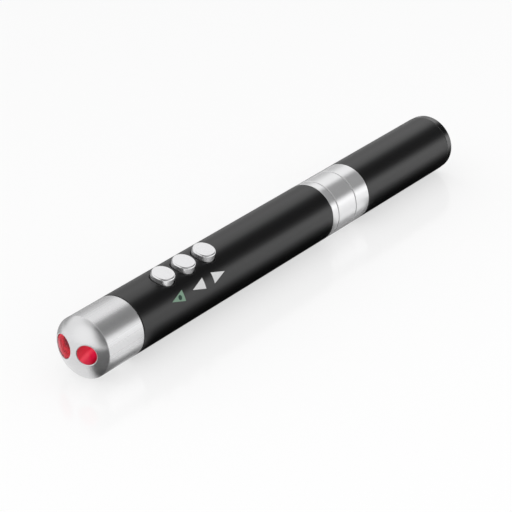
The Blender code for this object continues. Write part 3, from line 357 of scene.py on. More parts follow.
def add(tree, kind, inputs=(), **settings):
    """Adds a node with its settings. Each value sets its input, or is linked to it where it is a socket."""
    node = tree.nodes.new(kind)
    for name, value in settings.items():
        setattr(node, name, value)
    for socket, value in inputs:
        if isinstance(value, bpy.types.NodeSocket):
            tree.links.new(value, node.inputs[socket])
        else:
            node.inputs[socket].default_value = value
    return node


def finish(name, base, **values):
    """A material whose shader has these plain values, and the socket of its object coordinates."""
    material = bpy.data.materials.new(name)
    material.use_nodes = True
    tree = material.node_tree
    shader = tree.nodes["Principled BSDF"]
    shader.inputs["Base Color"].default_value = (*base, 1.0)
    for socket, value in values.items():
        shader.inputs[socket.replace("_", " ")].default_value = value
    material.diffuse_color = (*base, 1.0)
    place = add(tree, "ShaderNodeTexCoord").outputs["Object"]
    return material, tree, shader, place


def follow(tree, shader, pattern, lowest, highest, strength=0.0, depth=0.0):
    """Lets the roughness run between two values with a pattern. With a depth the pattern is a relief too."""
    spread = add(
        tree, "ShaderNodeMapRange", [("Value", pattern), ("To Min", lowest), ("To Max", highest)]
    ).outputs["Result"]
    tree.links.new(spread, shader.inputs["Roughness"])
    if depth:
        bump = add(
            tree, "ShaderNodeBump", [("Height", pattern), ("Strength", strength), ("Distance", depth)]
        ).outputs["Normal"]
        tree.links.new(bump, shader.inputs["Normal"])


def lined_metal(name, base, roughness, spacing, depth, metallic):
    """Turned or brushed metal: fine lines whose spacing along each axis is given, and a little haze."""
    variation, strength = 0.04, 0.25
    material, tree, shader, place = finish(name, base, Metallic=metallic, Roughness=roughness)
    stretch = add(tree, "ShaderNodeMapping", [("Vector", place), ("Scale", [1 / width for width in spacing])])
    lines = add(
        tree, "ShaderNodeTexNoise", [("Vector", stretch.outputs[0]), ("Scale", 1.0), ("Detail", 2.0)]
    ).outputs["Fac"]
    follow(tree, shader, lines, roughness - variation, roughness + variation, strength, depth)
    return material


def nose_metal():
    """Satin aluminium: the dome is smooth and deep in tone, and the skirt behind it is brushed lengthwise.

    The brushed lines are drawn coarser than real ones, so that they show as soft streaks.
    """
    roughness, variation = 0.26, 0.05
    dome_metallic, skirt_metallic = 0.92, 0.78
    fade, spacing = 0.3 * MM, (60 * MM, 2 * MM, 2 * MM)
    relief, depth = 0.3, 0.03 * MM
    material, tree, shader, place = finish("satin_brushed_aluminium", colours().nose, Roughness=roughness)
    along = add(tree, "ShaderNodeSeparateXYZ", [("Vector", place)]).outputs["X"]
    skirt = add(
        tree, "ShaderNodeMapRange", [("Value", along), ("From Min", CREASE - fade), ("From Max", CREASE)]
    ).outputs["Result"]
    stretch = add(tree, "ShaderNodeMapping", [("Vector", place), ("Scale", [1 / width for width in spacing])])
    lines = add(
        tree, "ShaderNodeTexNoise", [("Vector", stretch.outputs[0]), ("Scale", 1.0), ("Detail", 1.0)]
    ).outputs["Fac"]
    strength = add(tree, "ShaderNodeMath", [(0, skirt), (1, relief)], operation="MULTIPLY").outputs[0]
    bump = add(
        tree, "ShaderNodeBump", [("Height", lines), ("Strength", strength), ("Distance", depth)]
    ).outputs["Normal"]
    uneven = add(
        tree, "ShaderNodeMapRange", [("Value", lines), ("To Min", -variation), ("To Max", variation)]
    ).outputs["Result"]
    spread = add(
        tree, "ShaderNodeMath", [(0, uneven), (1, skirt), (2, roughness)], operation="MULTIPLY_ADD"
    ).outputs[0]
    haze = add(
        tree, "ShaderNodeMapRange", [("Value", skirt), ("To Min", dome_metallic), ("To Max", skirt_metallic)]
    ).outputs["Result"]
    for value, socket in ((haze, "Metallic"), (spread, "Roughness"), (bump, "Normal")):
        tree.links.new(value, shader.inputs[socket])
    return material


def polished(name, base, roughness, grain=0.4 * MM, metallic=1.0):
    """Plated, drawn or moulded surface: smooth to the eye, with a faint unevenness of its polish."""
    variation = 0.15
    material, tree, shader, place = finish(name, base, Metallic=metallic, Roughness=roughness)
    cloud = add(
        tree, "ShaderNodeTexNoise", [("Vector", place), ("Scale", 1 / grain), ("Detail", 3.0)]
    ).outputs["Fac"]
    follow(tree, shader, cloud, roughness * (1 - variation), roughness * (1 + variation))
    return material


def moulded(name, base, roughness, grain=0.3 * MM, depth=0.004 * MM, **values):
    """Moulded or painted surface: a fine grain and a slight relief soften and break up its highlights."""
    variation, strength = 0.08, 0.3
    material, tree, shader, place = finish(name, base, Roughness=roughness, **values)
    cloud = add(
        tree, "ShaderNodeTexNoise", [("Vector", place), ("Scale", 1 / grain), ("Detail", 4.0)]
    ).outputs["Fac"]
    follow(tree, shader, cloud, roughness * (1 - variation), roughness * (1 + variation), strength, depth)
    return material


def tinted(name, base, roughness, ior, clear=1.0):
    """Tinted acrylic, epoxy or glass: the clear share of the light passes and takes the tint."""
    flow, strength, depth = 1.5 * MM, 0.1, 0.01 * MM
    values = {"Roughness": roughness, "IOR": ior, "Transmission_Weight": clear}
    material, tree, shader, place = finish(name, base, **values)
    cloud = add(tree, "ShaderNodeTexNoise", [("Vector", place), ("Scale", 1 / flow)]).outputs["Fac"]
    bump = add(
        tree, "ShaderNodeBump", [("Height", cloud), ("Strength", strength), ("Distance", depth)]
    ).outputs["Normal"]
    tree.links.new(bump, shader.inputs["Normal"])
    return material


def painted_highlight_streak(material):
    """Colour of the smaller pane: a painted highlight, a band along a diagonal that stands in for light that
    gathers there.
    """
    tree = material.node_tree
    place = add(tree, "ShaderNodeTexCoord").outputs["Object"]
    centre = Vector((0, LASER_OFFSET, AXIS_HEIGHT))
    across = Vector((0, *PAINTED_HIGHLIGHT_DIRECTION)) / LASER_PORT
    away = add(tree, "ShaderNodeVectorMath", [(0, place), (1, centre)], operation="SUBTRACT").outputs[0]
    reach = add(
        tree, "ShaderNodeVectorMath", [(0, away), (1, across)], operation="DOT_PRODUCT"
    ).outputs["Value"]
    share = add(
        tree, "ShaderNodeMapRange", [("Value", reach), ("From Min", -1.0), ("From Max", 1.0)]
    ).outputs["Result"]
    ramp = add(tree, "ShaderNodeValToRGB", [("Fac", share)])
    ramp.color_ramp.interpolation = "EASE"
    while len(ramp.color_ramp.elements) < len(PAINTED_HIGHLIGHT_STOPS):
        ramp.color_ramp.elements.new(0.5)
    for element, (position, code) in zip(ramp.color_ramp.elements, PAINTED_HIGHLIGHT_STOPS):
        element.position = position
        element.color = (*linear(code), 1.0)
    tree.links.new(ramp.outputs["Color"], tree.nodes["Principled BSDF"].inputs["Base Color"])


def painted_edge_highlight(material, offset, radius):
    """Painted highlight on the bevelled edge of a pane, past a radius round its port's axis: pale and less clear,
    it stands in for light the edge catches.
    """
    tree = material.node_tree
    shader = tree.nodes["Principled BSDF"]
    place = add(tree, "ShaderNodeTexCoord").outputs["Object"]
    crosswise = Vector((0, 1, 1))
    flat = add(tree, "ShaderNodeVectorMath", [(0, place), (1, crosswise)], operation="MULTIPLY").outputs[0]
    centre = Vector((0, offset, AXIS_HEIGHT))
    reach = add(tree, "ShaderNodeVectorMath", [(0, flat), (1, centre)], operation="DISTANCE").outputs["Value"]
    share = add(
        tree,
        "ShaderNodeMapRange",
        [("Value", reach), ("From Min", radius), ("From Max", radius + PANE_EDGE_FADE)],
    ).outputs["Result"]
    clearness = shader.inputs["Transmission Weight"]
    clear = add(
        tree, "ShaderNodeMapRange", [("Value", share), ("To Min", clearness.default_value), ("To Max", 0.0)]
    ).outputs["Result"]
    pane_colour = shader.inputs["Base Color"]
    inside = pane_colour.links[0].from_socket if pane_colour.is_linked else tuple(pane_colour.default_value)
    mixed = add(
        tree,
        "ShaderNodeMix",
        [("Factor", share), ("A", inside), ("B", (*colours().window_edge_highlight, 1.0))],
        data_type="RGBA",
    ).outputs["Result"]
    tree.links.new(clear, clearness)
    tree.links.new(mixed, pane_colour)


# Nose cap


def half_border(offset, split):
    """Border of a port's half of the front, as (across, up): up the split line, then round to its foot."""
    reach = math.sqrt(PEN_RADIUS**2 - split**2)
    up = np.linspace(-reach, reach, SPLIT_STEPS + 1)[:-1]
    line = np.stack([np.full_like(up, split), up], -1)
    start = math.atan2(reach, split)
    turn = -2 * start if offset > 0 else 2 * (math.pi - start)
    angles = start + turn * np.arange(ROUND_SIDES // 2) / (ROUND_SIDES // 2)
    arc = PEN_RADIUS * np.stack([np.cos(angles), np.sin(angles)], -1)
    return np.concatenate([line, arc])


def rim_points(offset, radius, border):
    """Points of a port's circle, each in the direction of a point of its half's border."""
    direction = border - [offset, 0.0]
    direction /= np.linalg.norm(direction, axis=1, keepdims=True)
    return np.array([offset, 0.0]) + radius * direction


def port_sheet(offset, port, border, edge):
    """Over the dome from the crease to a port, down the port's bore and out on the pocket's floor."""
    face_rows, wall_rows, floor_rows = 33, 12, 6
    floor_border = border * BARREL_BORE / PEN_RADIUS
    rim = rim_points(offset, port + edge, border)
    wall = rim_points(offset, port, border)
    shares = np.sin(np.linspace(0, math.pi / 2, face_rows))[:, None, None]
    face = (rim + shares * (border - rim))[::-1]
    face_place = dome_place(np.linalg.norm(face, axis=-1))
    bends = np.linspace(0, math.pi / 2, ARC_STEPS + 1)[1:, None, None]
    bend = wall + (1 - np.sin(bends)) * (rim - wall)
    bend_place = face_place[-1] + edge * (1 - np.cos(bends[..., 0]))
    depth = np.linspace(0, 1, wall_rows)[1:, None]
    wall_place = bend_place[-1] + depth * (POCKET_FLOOR - bend_place[-1])
    floor = wall + np.linspace(0, 1, floor_rows)[1:, None, None] * (floor_border - wall)
    across_up = np.concatenate([face, bend, np.broadcast_to(wall, (len(depth), *wall.shape)), floor])
    along = np.concatenate([face_place, bend_place, wall_place, np.full(floor.shape[:2], POCKET_FLOOR)])
    grid = np.stack([along, across_up[..., 0], AXIS_HEIGHT + across_up[..., 1]], -1)
    return grid, True


def build_nose_cap():
    """A shell with a domed front. Each port has its half of the dome, and the skirt is turned behind both."""
    split = (LASER_OFFSET + LASER_PORT + EMITTER_OFFSET - EMITTER_PORT) / 2
    sheets, ring = [], []
    for offset, port in ((LASER_OFFSET, LASER_PORT), (EMITTER_OFFSET, EMITTER_PORT)):
        border = half_border(offset, split)
        sheets.append(port_sheet(offset, port, border, sizes().port_edge))
        ring += [border[:1], border[SPLIT_STEPS:]]
    ring = np.concatenate(ring)
    angles = np.unique(np.round(np.arctan2(-ring[:, 0], ring[:, 1]), 9))
    edge = sizes().nose_edge
    corners = [
        (CREASE, PEN_RADIUS, 0),
        (NOSE_END - edge, PEN_RADIUS, edge / 4),
        (NOSE_END, PEN_RADIUS - edge, edge / 4),
        (NOSE_END, BARREL_BORE, 0),
        (POCKET_FLOOR, BARREL_BORE, 0),
    ]
    sheets.append(turned(outline(corners), angles=angles))
    piece("nose_shell", sheets, "pointer", nose_metal(), ["nose_cap"])


def build_window(name, offset, port, material, thickness=None):
    """A red pane in its port, set back from the dome's curve. Without a thickness its back is flat."""
    face_rows, wall_rows = 25, 8
    radius = port - PANE_GAP
    angles = full_turn(SMALL_SIDES)
    shares = np.linspace(0, 1, face_rows)[:, None]
    across = offset - shares * radius * np.sin(angles)
    up = shares * radius * np.cos(angles)
    face = np.stack([dome_place(np.hypot(across, up), WINDOW_RECESS), across, AXIS_HEIGHT + up], -1)
    rim = face[-1:]
    back = np.full_like(face[..., 0], high(name).x) if thickness is None else face[..., 0] + thickness
    depth = np.linspace(0, 1, wall_rows)[1:, None]
    wall_place = rim[..., 0] + depth * (back[-1] - PANE_BEVEL - rim[..., 0])
    wall = np.concatenate([wall_place[..., None], np.repeat(rim[..., 1:], len(depth), 0)], -1)
    back_across = offset + (face[..., 1] - offset) * (1 - PANE_BEVEL / radius)
    end = np.stack([back, back_across, face[..., 2]], -1)[:-1][::-1]
    sheets = [(np.concatenate([face, wall, end]), True)]
    piece(name + "_pane", sheets, "pointer", material, [name])


def facet_rows(rows, facets):
    """Each row's share of the depth, whether it is odd, and its angles, half a facet on in the odd rows."""
    depth = np.linspace(0, 1, rows)[:, None]
    odd = (np.arange(rows) % 2)[:, None]
    return depth, odd, (np.arange(facets)[None, :] + odd / 2) * 2 * math.pi / facets


def sleeve_ring(share, radius, angles):
    """Points at a share of the way from behind the emitter's pane to the flat back of its lining."""
    across = EMITTER_OFFSET - radius * np.sin(angles)
    up = radius * np.cos(angles)
    front = dome_place(np.hypot(across, up), WINDOW_RECESS) + PANE_THICKNESS + SEAT_GAP
    back = high("emitter_window").x
    return np.stack(np.broadcast_arrays(front + share * (back - front), across, AXIS_HEIGHT + up), -1)


def build_sleeve():
    """Faceted red lining from the emitter's pane back to its reflector, narrower towards the back.

    It is gloss red plastic, whose facets show through the pane as lighter and darker reds.
    """
    wall, ridge, taper = 0.16 * MM, 0.14 * MM, 0.8 * MM
    radius = EMITTER_PORT - SEAT_GAP
    depth, odd, angles = facet_rows(5, 18)
    lining = sleeve_ring(depth, radius - wall - ridge * odd - taper * depth, angles)
    outside = sleeve_ring(np.array([[1.0], [0.0]]), radius, angles[:1])
    closed = np.concatenate([lining, outside, lining[:1]])
    red = polished("gloss_red_plastic", linear("FF5C74"), 0.2, metallic=0.0)
    piece("faceted_sleeve", [(closed, True)], "pointer", red).data.shade_flat()


def build_reflector():
    """A bowl of flat facets round the emitter: its radius falls as a power of the depth that is left.

    It is pale gloss plastic, which looks bright behind the red pane.
    """
    rim_wall, back_wall, power = 0.2 * MM, 0.8 * MM, 0.6
    start, end = low("emitter_reflector").x, high("emitter_reflector").x
    outer = EMITTER_PORT - 2 * SEAT_GAP
    root = sizes().bowl_root
    depth, _, angles = facet_rows(7, 20)
    inner = root + (outer - rim_wall - root) * (1 - depth) ** power
    bowl = on_pen(start + depth * (end - start - back_wall), inner, angles)
    back = on_pen(np.array([[end], [end], [start]]), np.array([[root], [outer], [outer]]), angles[-1:])
    front = on_pen(np.array([[start]]), np.array([[outer]]), angles[:1])
    grid = np.concatenate([bowl, back, front])
    grid[..., 1] += EMITTER_OFFSET
    closed = np.concatenate([grid, grid[:1]])
    pale = polished("gloss_pale_plastic", linear("FFCCD4"), 0.2, metallic=0.0)
    bowl_piece = piece("faceted_bowl", [(closed, True)], "pointer", pale, ["emitter_reflector"])
    bowl_piece.data.shade_flat()


# Front barrel and keys


def barrel_patch(centre, radius, hole, half_turn, steps):
    """The part of a tube's wall round one key's hole: rows from the hole's circle out to a rectangle."""
    rows, closeness = 15, 1.3
    half = KEY_PITCH / 2
    sweep = np.linspace(-1, 1, steps + 1)[:-1]
    border = np.concatenate(
        [
            np.stack([half * sweep, np.full(steps, -half_turn)], -1),
            np.stack([np.full(steps, half), half_turn * sweep], -1),
            np.stack([-half * sweep, np.full(steps, half_turn)], -1),
            np.stack([np.full(steps, -half), -half_turn * sweep], -1),
        ]
    )
    direction = np.arctan2(border[:, 1] * PEN_RADIUS, border[:, 0])
    rim = np.stack([hole * np.cos(direction), np.arcsin(hole * np.sin(direction) / radius)], -1)
    shares = np.linspace(0, 1, rows)[:, None, None] ** closeness
    patch = rim + shares * (border - rim)
    return on_pen(centre + patch[..., 0], radius, KEY_ROLL - patch[..., 1])


def build_front_barrel():
    """A tube with three round holes. Each hole has its own patch of wall, and plain grids fill the rest."""
    steps, wall_rows = 20, 5
    half_turn = 0.75
    corner = 0.1 * MM
    hole = KEY_RADIUS + RUN_GAP
    edge = sizes().hole_edge
    sheets = []
    for centre in KEY_PLACES:
        outer = barrel_patch(centre, PEN_RADIUS, hole + edge, half_turn, steps)
        inner = barrel_patch(centre, BARREL_BORE, hole, half_turn, steps)
        border = outer[0]
        keypad_across = border[:, 1] * math.cos(KEY_ROLL) + (border[:, 2] - AXIS_HEIGHT) * math.sin(KEY_ROLL)
        direction = np.arctan2(keypad_across, border[:, 0] - centre)
        bends = np.linspace(0, math.pi / 2, ARC_STEPS + 1)[1:, None]
        reach = hole + edge * (1 - np.sin(bends))
        bend_out = np.sqrt(PEN_RADIUS**2 - keypad_across**2) - edge * (1 - np.cos(bends))
        bend = on_keypad(centre + reach * np.cos(direction), reach * np.sin(direction), bend_out)
        depth = np.linspace(0, 1, wall_rows)[1:-1, None, None]
        wall = bend[-1] + depth * (inner[0] - bend[-1])
        sheets.append((np.concatenate([outer[::-1], bend, wall, inner]), True))
    window_turn = np.linspace(-half_turn, half_turn, steps + 1)
    rest_turn = np.linspace(half_turn, 2 * math.pi - half_turn, ROUND_SIDES - 2 * steps)[1:-1]
    ring_turn = KEY_ROLL - np.concatenate([window_turn, rest_turn])
    rest = KEY_ROLL - np.concatenate([[half_turn], rest_turn, [2 * math.pi - half_turn]])
    start, end = KEY_PLACES[0] - KEY_PITCH / 2, KEY_PLACES[-1] + KEY_PITCH / 2
    sweep = np.linspace(-1, 1, steps + 1)[:-1] * KEY_PITCH / 2
    keypad_along = np.concatenate([centre + sweep for centre in KEY_PLACES] + [[end]])[:, None]
    front = [
        (start, BARREL_BORE, 0),
        (BARREL_START, BARREL_BORE, 0),
        (BARREL_START, PEN_RADIUS, corner),
        (start, PEN_RADIUS, 0),
    ]
    rear = [
        (end, PEN_RADIUS, 0),
        (BARREL_END, PEN_RADIUS, corner),
        (BARREL_END, BARREL_BORE, 0),
        (end, BARREL_BORE, 0),
    ]
    for corners in (front, rear):
        sheets.append(turned(outline(corners), angles=ring_turn))
    for radius in (PEN_RADIUS, BARREL_BORE):
        sheets.append((on_pen(keypad_along, radius, rest[None, :]), False))
    piece("barrel_tube", sheets, "pointer", satin_black(), ["front_barrel"])


def satin_black():
    """Satin black lacquer on brass: nearly no colour of its own, and a broad soft sheen."""
    return bpy.data.materials.get("satin_black_lacquer") or moulded(
        "satin_black_lacquer", colours().barrel, 0.29, 0.25 * MM, 0.002 * MM, IOR=1.58
    )


def build_keys():
    """Chromed caps, nearly flat: the crown falls as the square of the radius, to a rounded shoulder."""
    crown_rows = 24
    # Satin chrome is bright, and blurs what it mirrors
    chrome = polished("satin_chrome", colours().keys, 0.21, grain=0.8 * MM, metallic=0.95)
    angles = full_turn(SMALL_SIDES)
    flat_bore = BARREL_BORE * math.cos(math.pi / FRAME_SIDES)
    flange_top = math.sqrt(flat_bore**2 - KEY_FLANGE_RADIUS**2) - RUN_GAP
    crown_reach = np.linspace(0, KEY_TOP_RADIUS - KEY_SHOULDER_ROUND, crown_rows)
    crown_out = PEN_RADIUS + KEY_RISE - KEY_CROWN * (crown_reach / KEY_TOP_RADIUS) ** 2
    crown = np.stack([crown_out, crown_reach], -1)
    for node, centre in zip(KEYS, KEY_PLACES):
        foot = stem_foot(node.replace("_button", "_plunger"))
        lower = outline(
            [
                (*crown[-1], 0),
                (PEN_RADIUS + KEY_RISE - KEY_CROWN, KEY_TOP_RADIUS, KEY_SHOULDER_ROUND),
                (flange_top, KEY_WALL_RADIUS, 0),
                (flange_top, KEY_FLANGE_RADIUS, 0),
                (flange_top - KEY_FLANGE, KEY_FLANGE_RADIUS, 0),
                (flange_top - KEY_FLANGE, KEY_STEM_RADIUS, 0),
                (foot, KEY_STEM_RADIUS, 0),
                (foot, 0, 0),
            ]
        )
        profile = np.concatenate([crown, lower[1:]])
        out, reach = profile[:, :1], profile[:, 1:]
        grid = on_keypad(centre + reach * np.cos(angles), reach * np.sin(angles), out)
        body = node.replace("_button", "_key")
        piece(node.replace("_button", "_key_cap"), [(grid, True)], body, chrome, [node])


def stem_foot(plunger):
    """Height of a key's stem above the axis: just over its plunger, whose box leans with the keypad."""
    points = np.array([vertex.co for vertex in frame["nodes"][plunger].data.vertices])
    out = -points[:, 1] * math.sin(KEY_ROLL) + (points[:, 2] - AXIS_HEIGHT) * math.cos(KEY_ROLL)
    return out.max() + SEAT_GAP


def curved_patch(name, along, angle, material):
    """A thin closed skin of ink on the barrel over a grid of places and angles."""
    thickness = sizes().ink
    top = on_pen(along, PEN_RADIUS + thickness, angle)
    bottom = on_pen(along, PEN_RADIUS - thickness / 2, angle)
    around = [
        np.concatenate([grid[0, :-1], grid[:-1, -1], grid[-1, :0:-1], grid[:0:-1, 0]])
        for grid in (top, bottom)
    ]
    piece(name, [(top, False), (bottom, False), (np.stack(around), True)], "pointer", material)


def build_marks():
    """Three triangles in dull ink, with a dot on one. A square grid is squeezed to a point at its tip."""
    roughness, grain, depth = 0.5, 0.1 * MM, 0.002 * MM
    rows, dot_sides = 17, 33
    size = sizes()
    white, green, dark = [
        moulded(name, base, roughness, grain, depth)
        for name, base in (
            ("white_printing_ink", colours().white_ink),
            ("green_printing_ink", colours().green_ink),
            ("dark_green_printing_ink", colours().dot_ink),
        )
    ]
    shares = np.linspace(0, 1, rows)
    width = (shares - 0.5) * size.mark_width / PEN_RADIUS
    plans = (("laser_mark", green, -1), ("page_up_mark", white, -1), ("page_down_mark", white, 1))
    for (name, ink, points_to), centre in zip(plans, KEY_PLACES):
        middle = centre - size.mark_shift
        along = middle - points_to * size.mark_length / 2 + points_to * shares[:, None] * size.mark_length
        angle = size.mark_angle + (1 - shares[:, None]) * width[None, :]
        curved_patch(name, *np.broadcast_arrays(along, angle), ink)
    centroid = KEY_PLACES[0] - size.mark_shift + size.mark_length / 6
    reach = shares[:, None] * size.dot_radius
    turns = full_turn(dot_sides)
    along = centroid + reach * np.cos(turns)
    angle = size.mark_angle + reach * np.sin(turns) / PEN_RADIUS
    top, bottom = [on_pen(along, PEN_RADIUS + layers * size.ink, angle) for layers in (2.0, 0.5)]
    piece("laser_mark_dot", [(np.concatenate([top, bottom[::-1]]), True)], "pointer", dark)


# Band, collar, rear barrel and tail


def build_band():
    """Three polished rings with rounded edges, and dark joints between them."""
    # Rings left by turning, coarser than real ones, so that they spread the highlights a little
    spacing = (0.2 * MM, 100 * MM, 100 * MM)
    depth = 0.005 * MM
    metal = lined_metal("polished_turned_aluminium", colours().band, 0.17, spacing, depth, metallic=0.66)
    edge = sizes().ring_edge
    bodies = {"front_ring": "pointer", "middle_ring": "rear_section", "rear_ring": "rear_section"}
    for node, body in bodies.items():
        start, end = low(node).x, high(node).x
        corners = [
            (start, RING_BORE, 0),
            (start, PEN_RADIUS, edge),
            (end, PEN_RADIUS, edge),
            (end, RING_BORE, 0),
        ]
        piece(node + "_polished", [turned(outline(corners, True))], body, metal, [node])


def build_collar():
    """Collar with one true helical thread: an even rise and fall over each pitch, cut at root and crest."""
    steps = 16
    slope, root_cut = 1.9, 0.35
    fade_turns = 0.5
    seal_gap, seal_round = 0.05 * MM, 0.1 * MM
    end_round = 0.2 * MM
    start = RING_END + THREAD_RELIEF
    along = np.arange(0, THREAD_TURNS * steps + 1)[:, None] * THREAD_PITCH / steps
    angles = full_turn()
    phase = (along / THREAD_PITCH - angles / (2 * math.pi)) % 1.0
    ridge = np.clip((1 - np.abs(2 * phase - 1)) * slope - root_cut, 0, 1)
    ends = np.clip(along / THREAD_PITCH, 0, 1) * np.clip(THREAD_TURNS - along / THREAD_PITCH, 0, 1)
    fade = np.clip(ends / fade_turns, 0, 1)
    thread = on_pen(start + along, THREAD_ROOT + THREAD_DEPTH * ridge * fade, angles)
    barrel_end = BARREL_END + SEAT_GAP
    front = outline(
        [
            (start, THREAD_ROOT, 0),
            (RING_END, THREAD_ROOT, 0),
            (RING_END, NECK_RADIUS, 0),
            (barrel_end, NECK_RADIUS, 0),
            (barrel_end, CORE_RADIUS, 0),
            (COLLAR_START, CORE_RADIUS, 0),
            (COLLAR_START, BORE_RADIUS, 0),
            (COLLAR_END, BORE_RADIUS, 0),
            (COLLAR_END, THREAD_ROOT, end_round),
            (start + THREAD_TURNS * THREAD_PITCH, THREAD_ROOT, 0),
        ]
    )
    # Nickel is bright and slightly warm, and the rubber of the seal is matt black
    metal = polished("nickelled_brass", linear("CFCBC2"), 0.22)
    piece("thread_collar", [(thread, True), turned(front)], "pointer", metal, ["threaded_collar"])
    rubber = moulded("black_nitrile_rubber", linear("121213"), 0.6)
    begin, end = low("seal_ring").x, high("seal_ring").x
    inner, outer = THREAD_ROOT + seal_gap, NECK_RADIUS - seal_gap
    corners = [(*place, seal_round) for place in ((begin, inner), (begin, outer), (end, outer), (end, inner))]
    piece("seal_washer", [turned(outline(corners, True))], "pointer", rubber, ["seal_ring"])


def build_rear_barrel():
    """Turned tube whose neck slips over the collar, with a seat for the plug at the tail."""
    shoulder = BAND_END + SEAT_GAP
    seat = PEN_RADIUS - PLUG_SLEEVE
    step = COLLAR_END + NECK_ROOM
    corner = 0.1 * MM
    corners = [
        (NECK_START, NECK_BORE, 0),
        (NECK_START, NECK_RADIUS, 0),
        (shoulder, NECK_RADIUS, 0),
        (shoulder, PEN_RADIUS, corner),
        (REAR_BARREL_END, PEN_RADIUS, corner),
        (REAR_BARREL_END, seat, 0),
        (PLUG_START - SEAT_GAP, seat, 0),
        (PLUG_START - SEAT_GAP, BORE_RADIUS, 0),
        (step, BORE_RADIUS, 0),
        (step, NECK_BORE, 0),
    ]
    sheets = [turned(outline(corners, True))]
    piece("rear_tube", sheets, "rear_section", satin_black(), ["rear_barrel"])


def build_tail_plug():
    """Glossy plug: a short ring flush with the barrel, a rounded rim and a flat end."""
    rim = sizes().plug_round
    spigot = PEN_RADIUS - PLUG_SLEEVE - SEAT_GAP
    floor = PLUG_END - PLUG_DEPTH
    ring_start = REAR_BARREL_END + SEAT_GAP
    taper = 0.12 * MM
    corners = [
        (floor, 0, 0),
        (floor, spigot - PLUG_WALL, 0),
        (PLUG_START, spigot - PLUG_WALL, 0),
        (PLUG_START, spigot, 0),
        (ring_start, spigot, 0),
        (ring_start, PEN_RADIUS, taper),
        (PLUG_END, PEN_RADIUS - taper, rim),
        (PLUG_END, 0, 0),
    ]
    # An index above that of ABS and a coat, both matched to the hard gloss of the polished moulding
    coat = {"IOR": 1.75, "Coat_Weight": 0.4, "Coat_Roughness": 0.05}
    gloss = moulded("glossy_black_abs", colours().tail, 0.14, grain=1.5 * MM, **coat)
    piece("tail_plug_gloss", [turned(outline(corners))], "rear_section", gloss, ["tail_plug"])


# Pieces inside, which keep the frame's meshes


def inner_finishes():
    """Finish of each slot that only the frame's own pieces use: soft mirrors, dull plastics, clear glass."""
    return {
        "smoked_epoxy": tinted("smoked_epoxy", linear("5A3A60"), 0.05, 1.5),
        "brass": polished("machined_brass", linear("D8B25E"), 0.25),
        "lens_glass": tinted("lens_glass", linear("F4FAFF"), 0.02, 1.52),
        "spring_steel": polished("music_wire", linear("BFC1C4"), 0.25),
        "nickel": polished("bright_nickel", linear("CFCBC2"), 0.22),
        "can_metal": polished("drawn_aluminium_can", linear("D2D4D6"), 0.3),
        "black_plastic": moulded("black_abs", linear("1A1A1C"), 0.45),
        "grey_plastic": moulded("grey_abs", linear("6E7175"), 0.5),
        "white_plastic": moulded("white_acetal", linear("E2E0D8"), 0.4),
        "board_green": solder_mask(),
        "red_lead": moulded("red_pvc", linear("B81E22"), 0.45),
        "black_lead": moulded("black_pvc", linear("17171A"), 0.45),
        "cell_jacket": cell_wrap(),
    }


def solder_mask():
    """Green solder mask over copper: faint lighter tracks show the copper, drawn coarser than real ones."""
    spacing, track_width = 6.0 * MM, 0.06
    material, tree, shader, place = finish("green_solder_mask", linear("0F5A2C"), Roughness=0.35)
    tracks = add(
        tree, "ShaderNodeTexBrick", [("Vector", place), ("Scale", 1 / spacing), ("Mortar Size", track_width)]
    ).outputs["Fac"]
    tone = add(
        tree,
        "ShaderNodeMix",
        [("Factor", tracks), ("A", (*linear("1E7A3E"), 1.0)), ("B", (*linear("0D4A24"), 1.0))],
        data_type="RGBA",
    ).outputs["Result"]
    tree.links.new(tone, shader.inputs["Base Color"])
    return material


def cell_wrap():
    """Printed film on a cell: a pale metal grey with a slight unevenness."""
    return moulded("cell_wrap_film", linear("9A9EA6"), 0.35, 0.8 * MM, 0.004 * MM, Metallic=0.6)


def dress_inner_nodes():
    """Gives each shown piece of the frame the finish of its slot."""
    finishes = inner_finishes()
    slots = {item["node"]: item["material_slot"] for item in frame["record"]["subparts"]}
    for name, obj in frame["nodes"].items():
        if not obj.hide_render:
            obj.data.materials.clear()
            obj.data.materials.append(finishes[slots[name]])


# Stage

# The view: the focus and the shift are in pixels of the picture, and the sensor's width is in millimetres
PHOTO_SIZE = 512
SENSOR = 36.0
CLIP_START = 0.01
CLIP_END = 50.0
VIEW_AZIMUTH = math.radians(35.21)
VIEW_ELEVATION = math.radians(25.15)
VIEW_DISTANCE = 73.98 * PEN_RADIUS
VIEW_FOCUS = 2307.6
VIEW_SHIFT = (-7.5, -7.2)
VIEW_AIM = TIP + 66.17 * MM
FLOOR_SIZE = 6.0
BACKGROUND_SHARE = 0.62


def build_camera():
    """Looks along the pen from the front left and above. Its aim lies VIEW_SHIFT pixels off the middle."""
    back = Vector(
        (
            -math.cos(VIEW_AZIMUTH) * math.cos(VIEW_ELEVATION),
            -math.sin(VIEW_AZIMUTH) * math.cos(VIEW_ELEVATION),
            math.sin(VIEW_ELEVATION),
        )
    )
    right = Vector((0, 0, 1)).cross(back).normalized()
    up = back.cross(right)
    pixel = VIEW_DISTANCE / VIEW_FOCUS
    aim = Vector((VIEW_AIM, 0, AXIS_HEIGHT))
    place = aim + back * VIEW_DISTANCE - right * VIEW_SHIFT[0] * pixel + up * VIEW_SHIFT[1] * pixel
    data = bpy.data.cameras.new("camera")
    data.lens = VIEW_FOCUS / PHOTO_SIZE * SENSOR
    data.sensor_width = SENSOR
    data.clip_start = CLIP_START
    data.clip_end = CLIP_END
    camera = bpy.data.objects.new("camera", data)
    camera.matrix_world = Matrix.Translation(place) @ Matrix((right, up, back)).transposed().to_4x4()
    bpy.context.scene.collection.objects.link(camera)
    bpy.context.scene.camera = camera


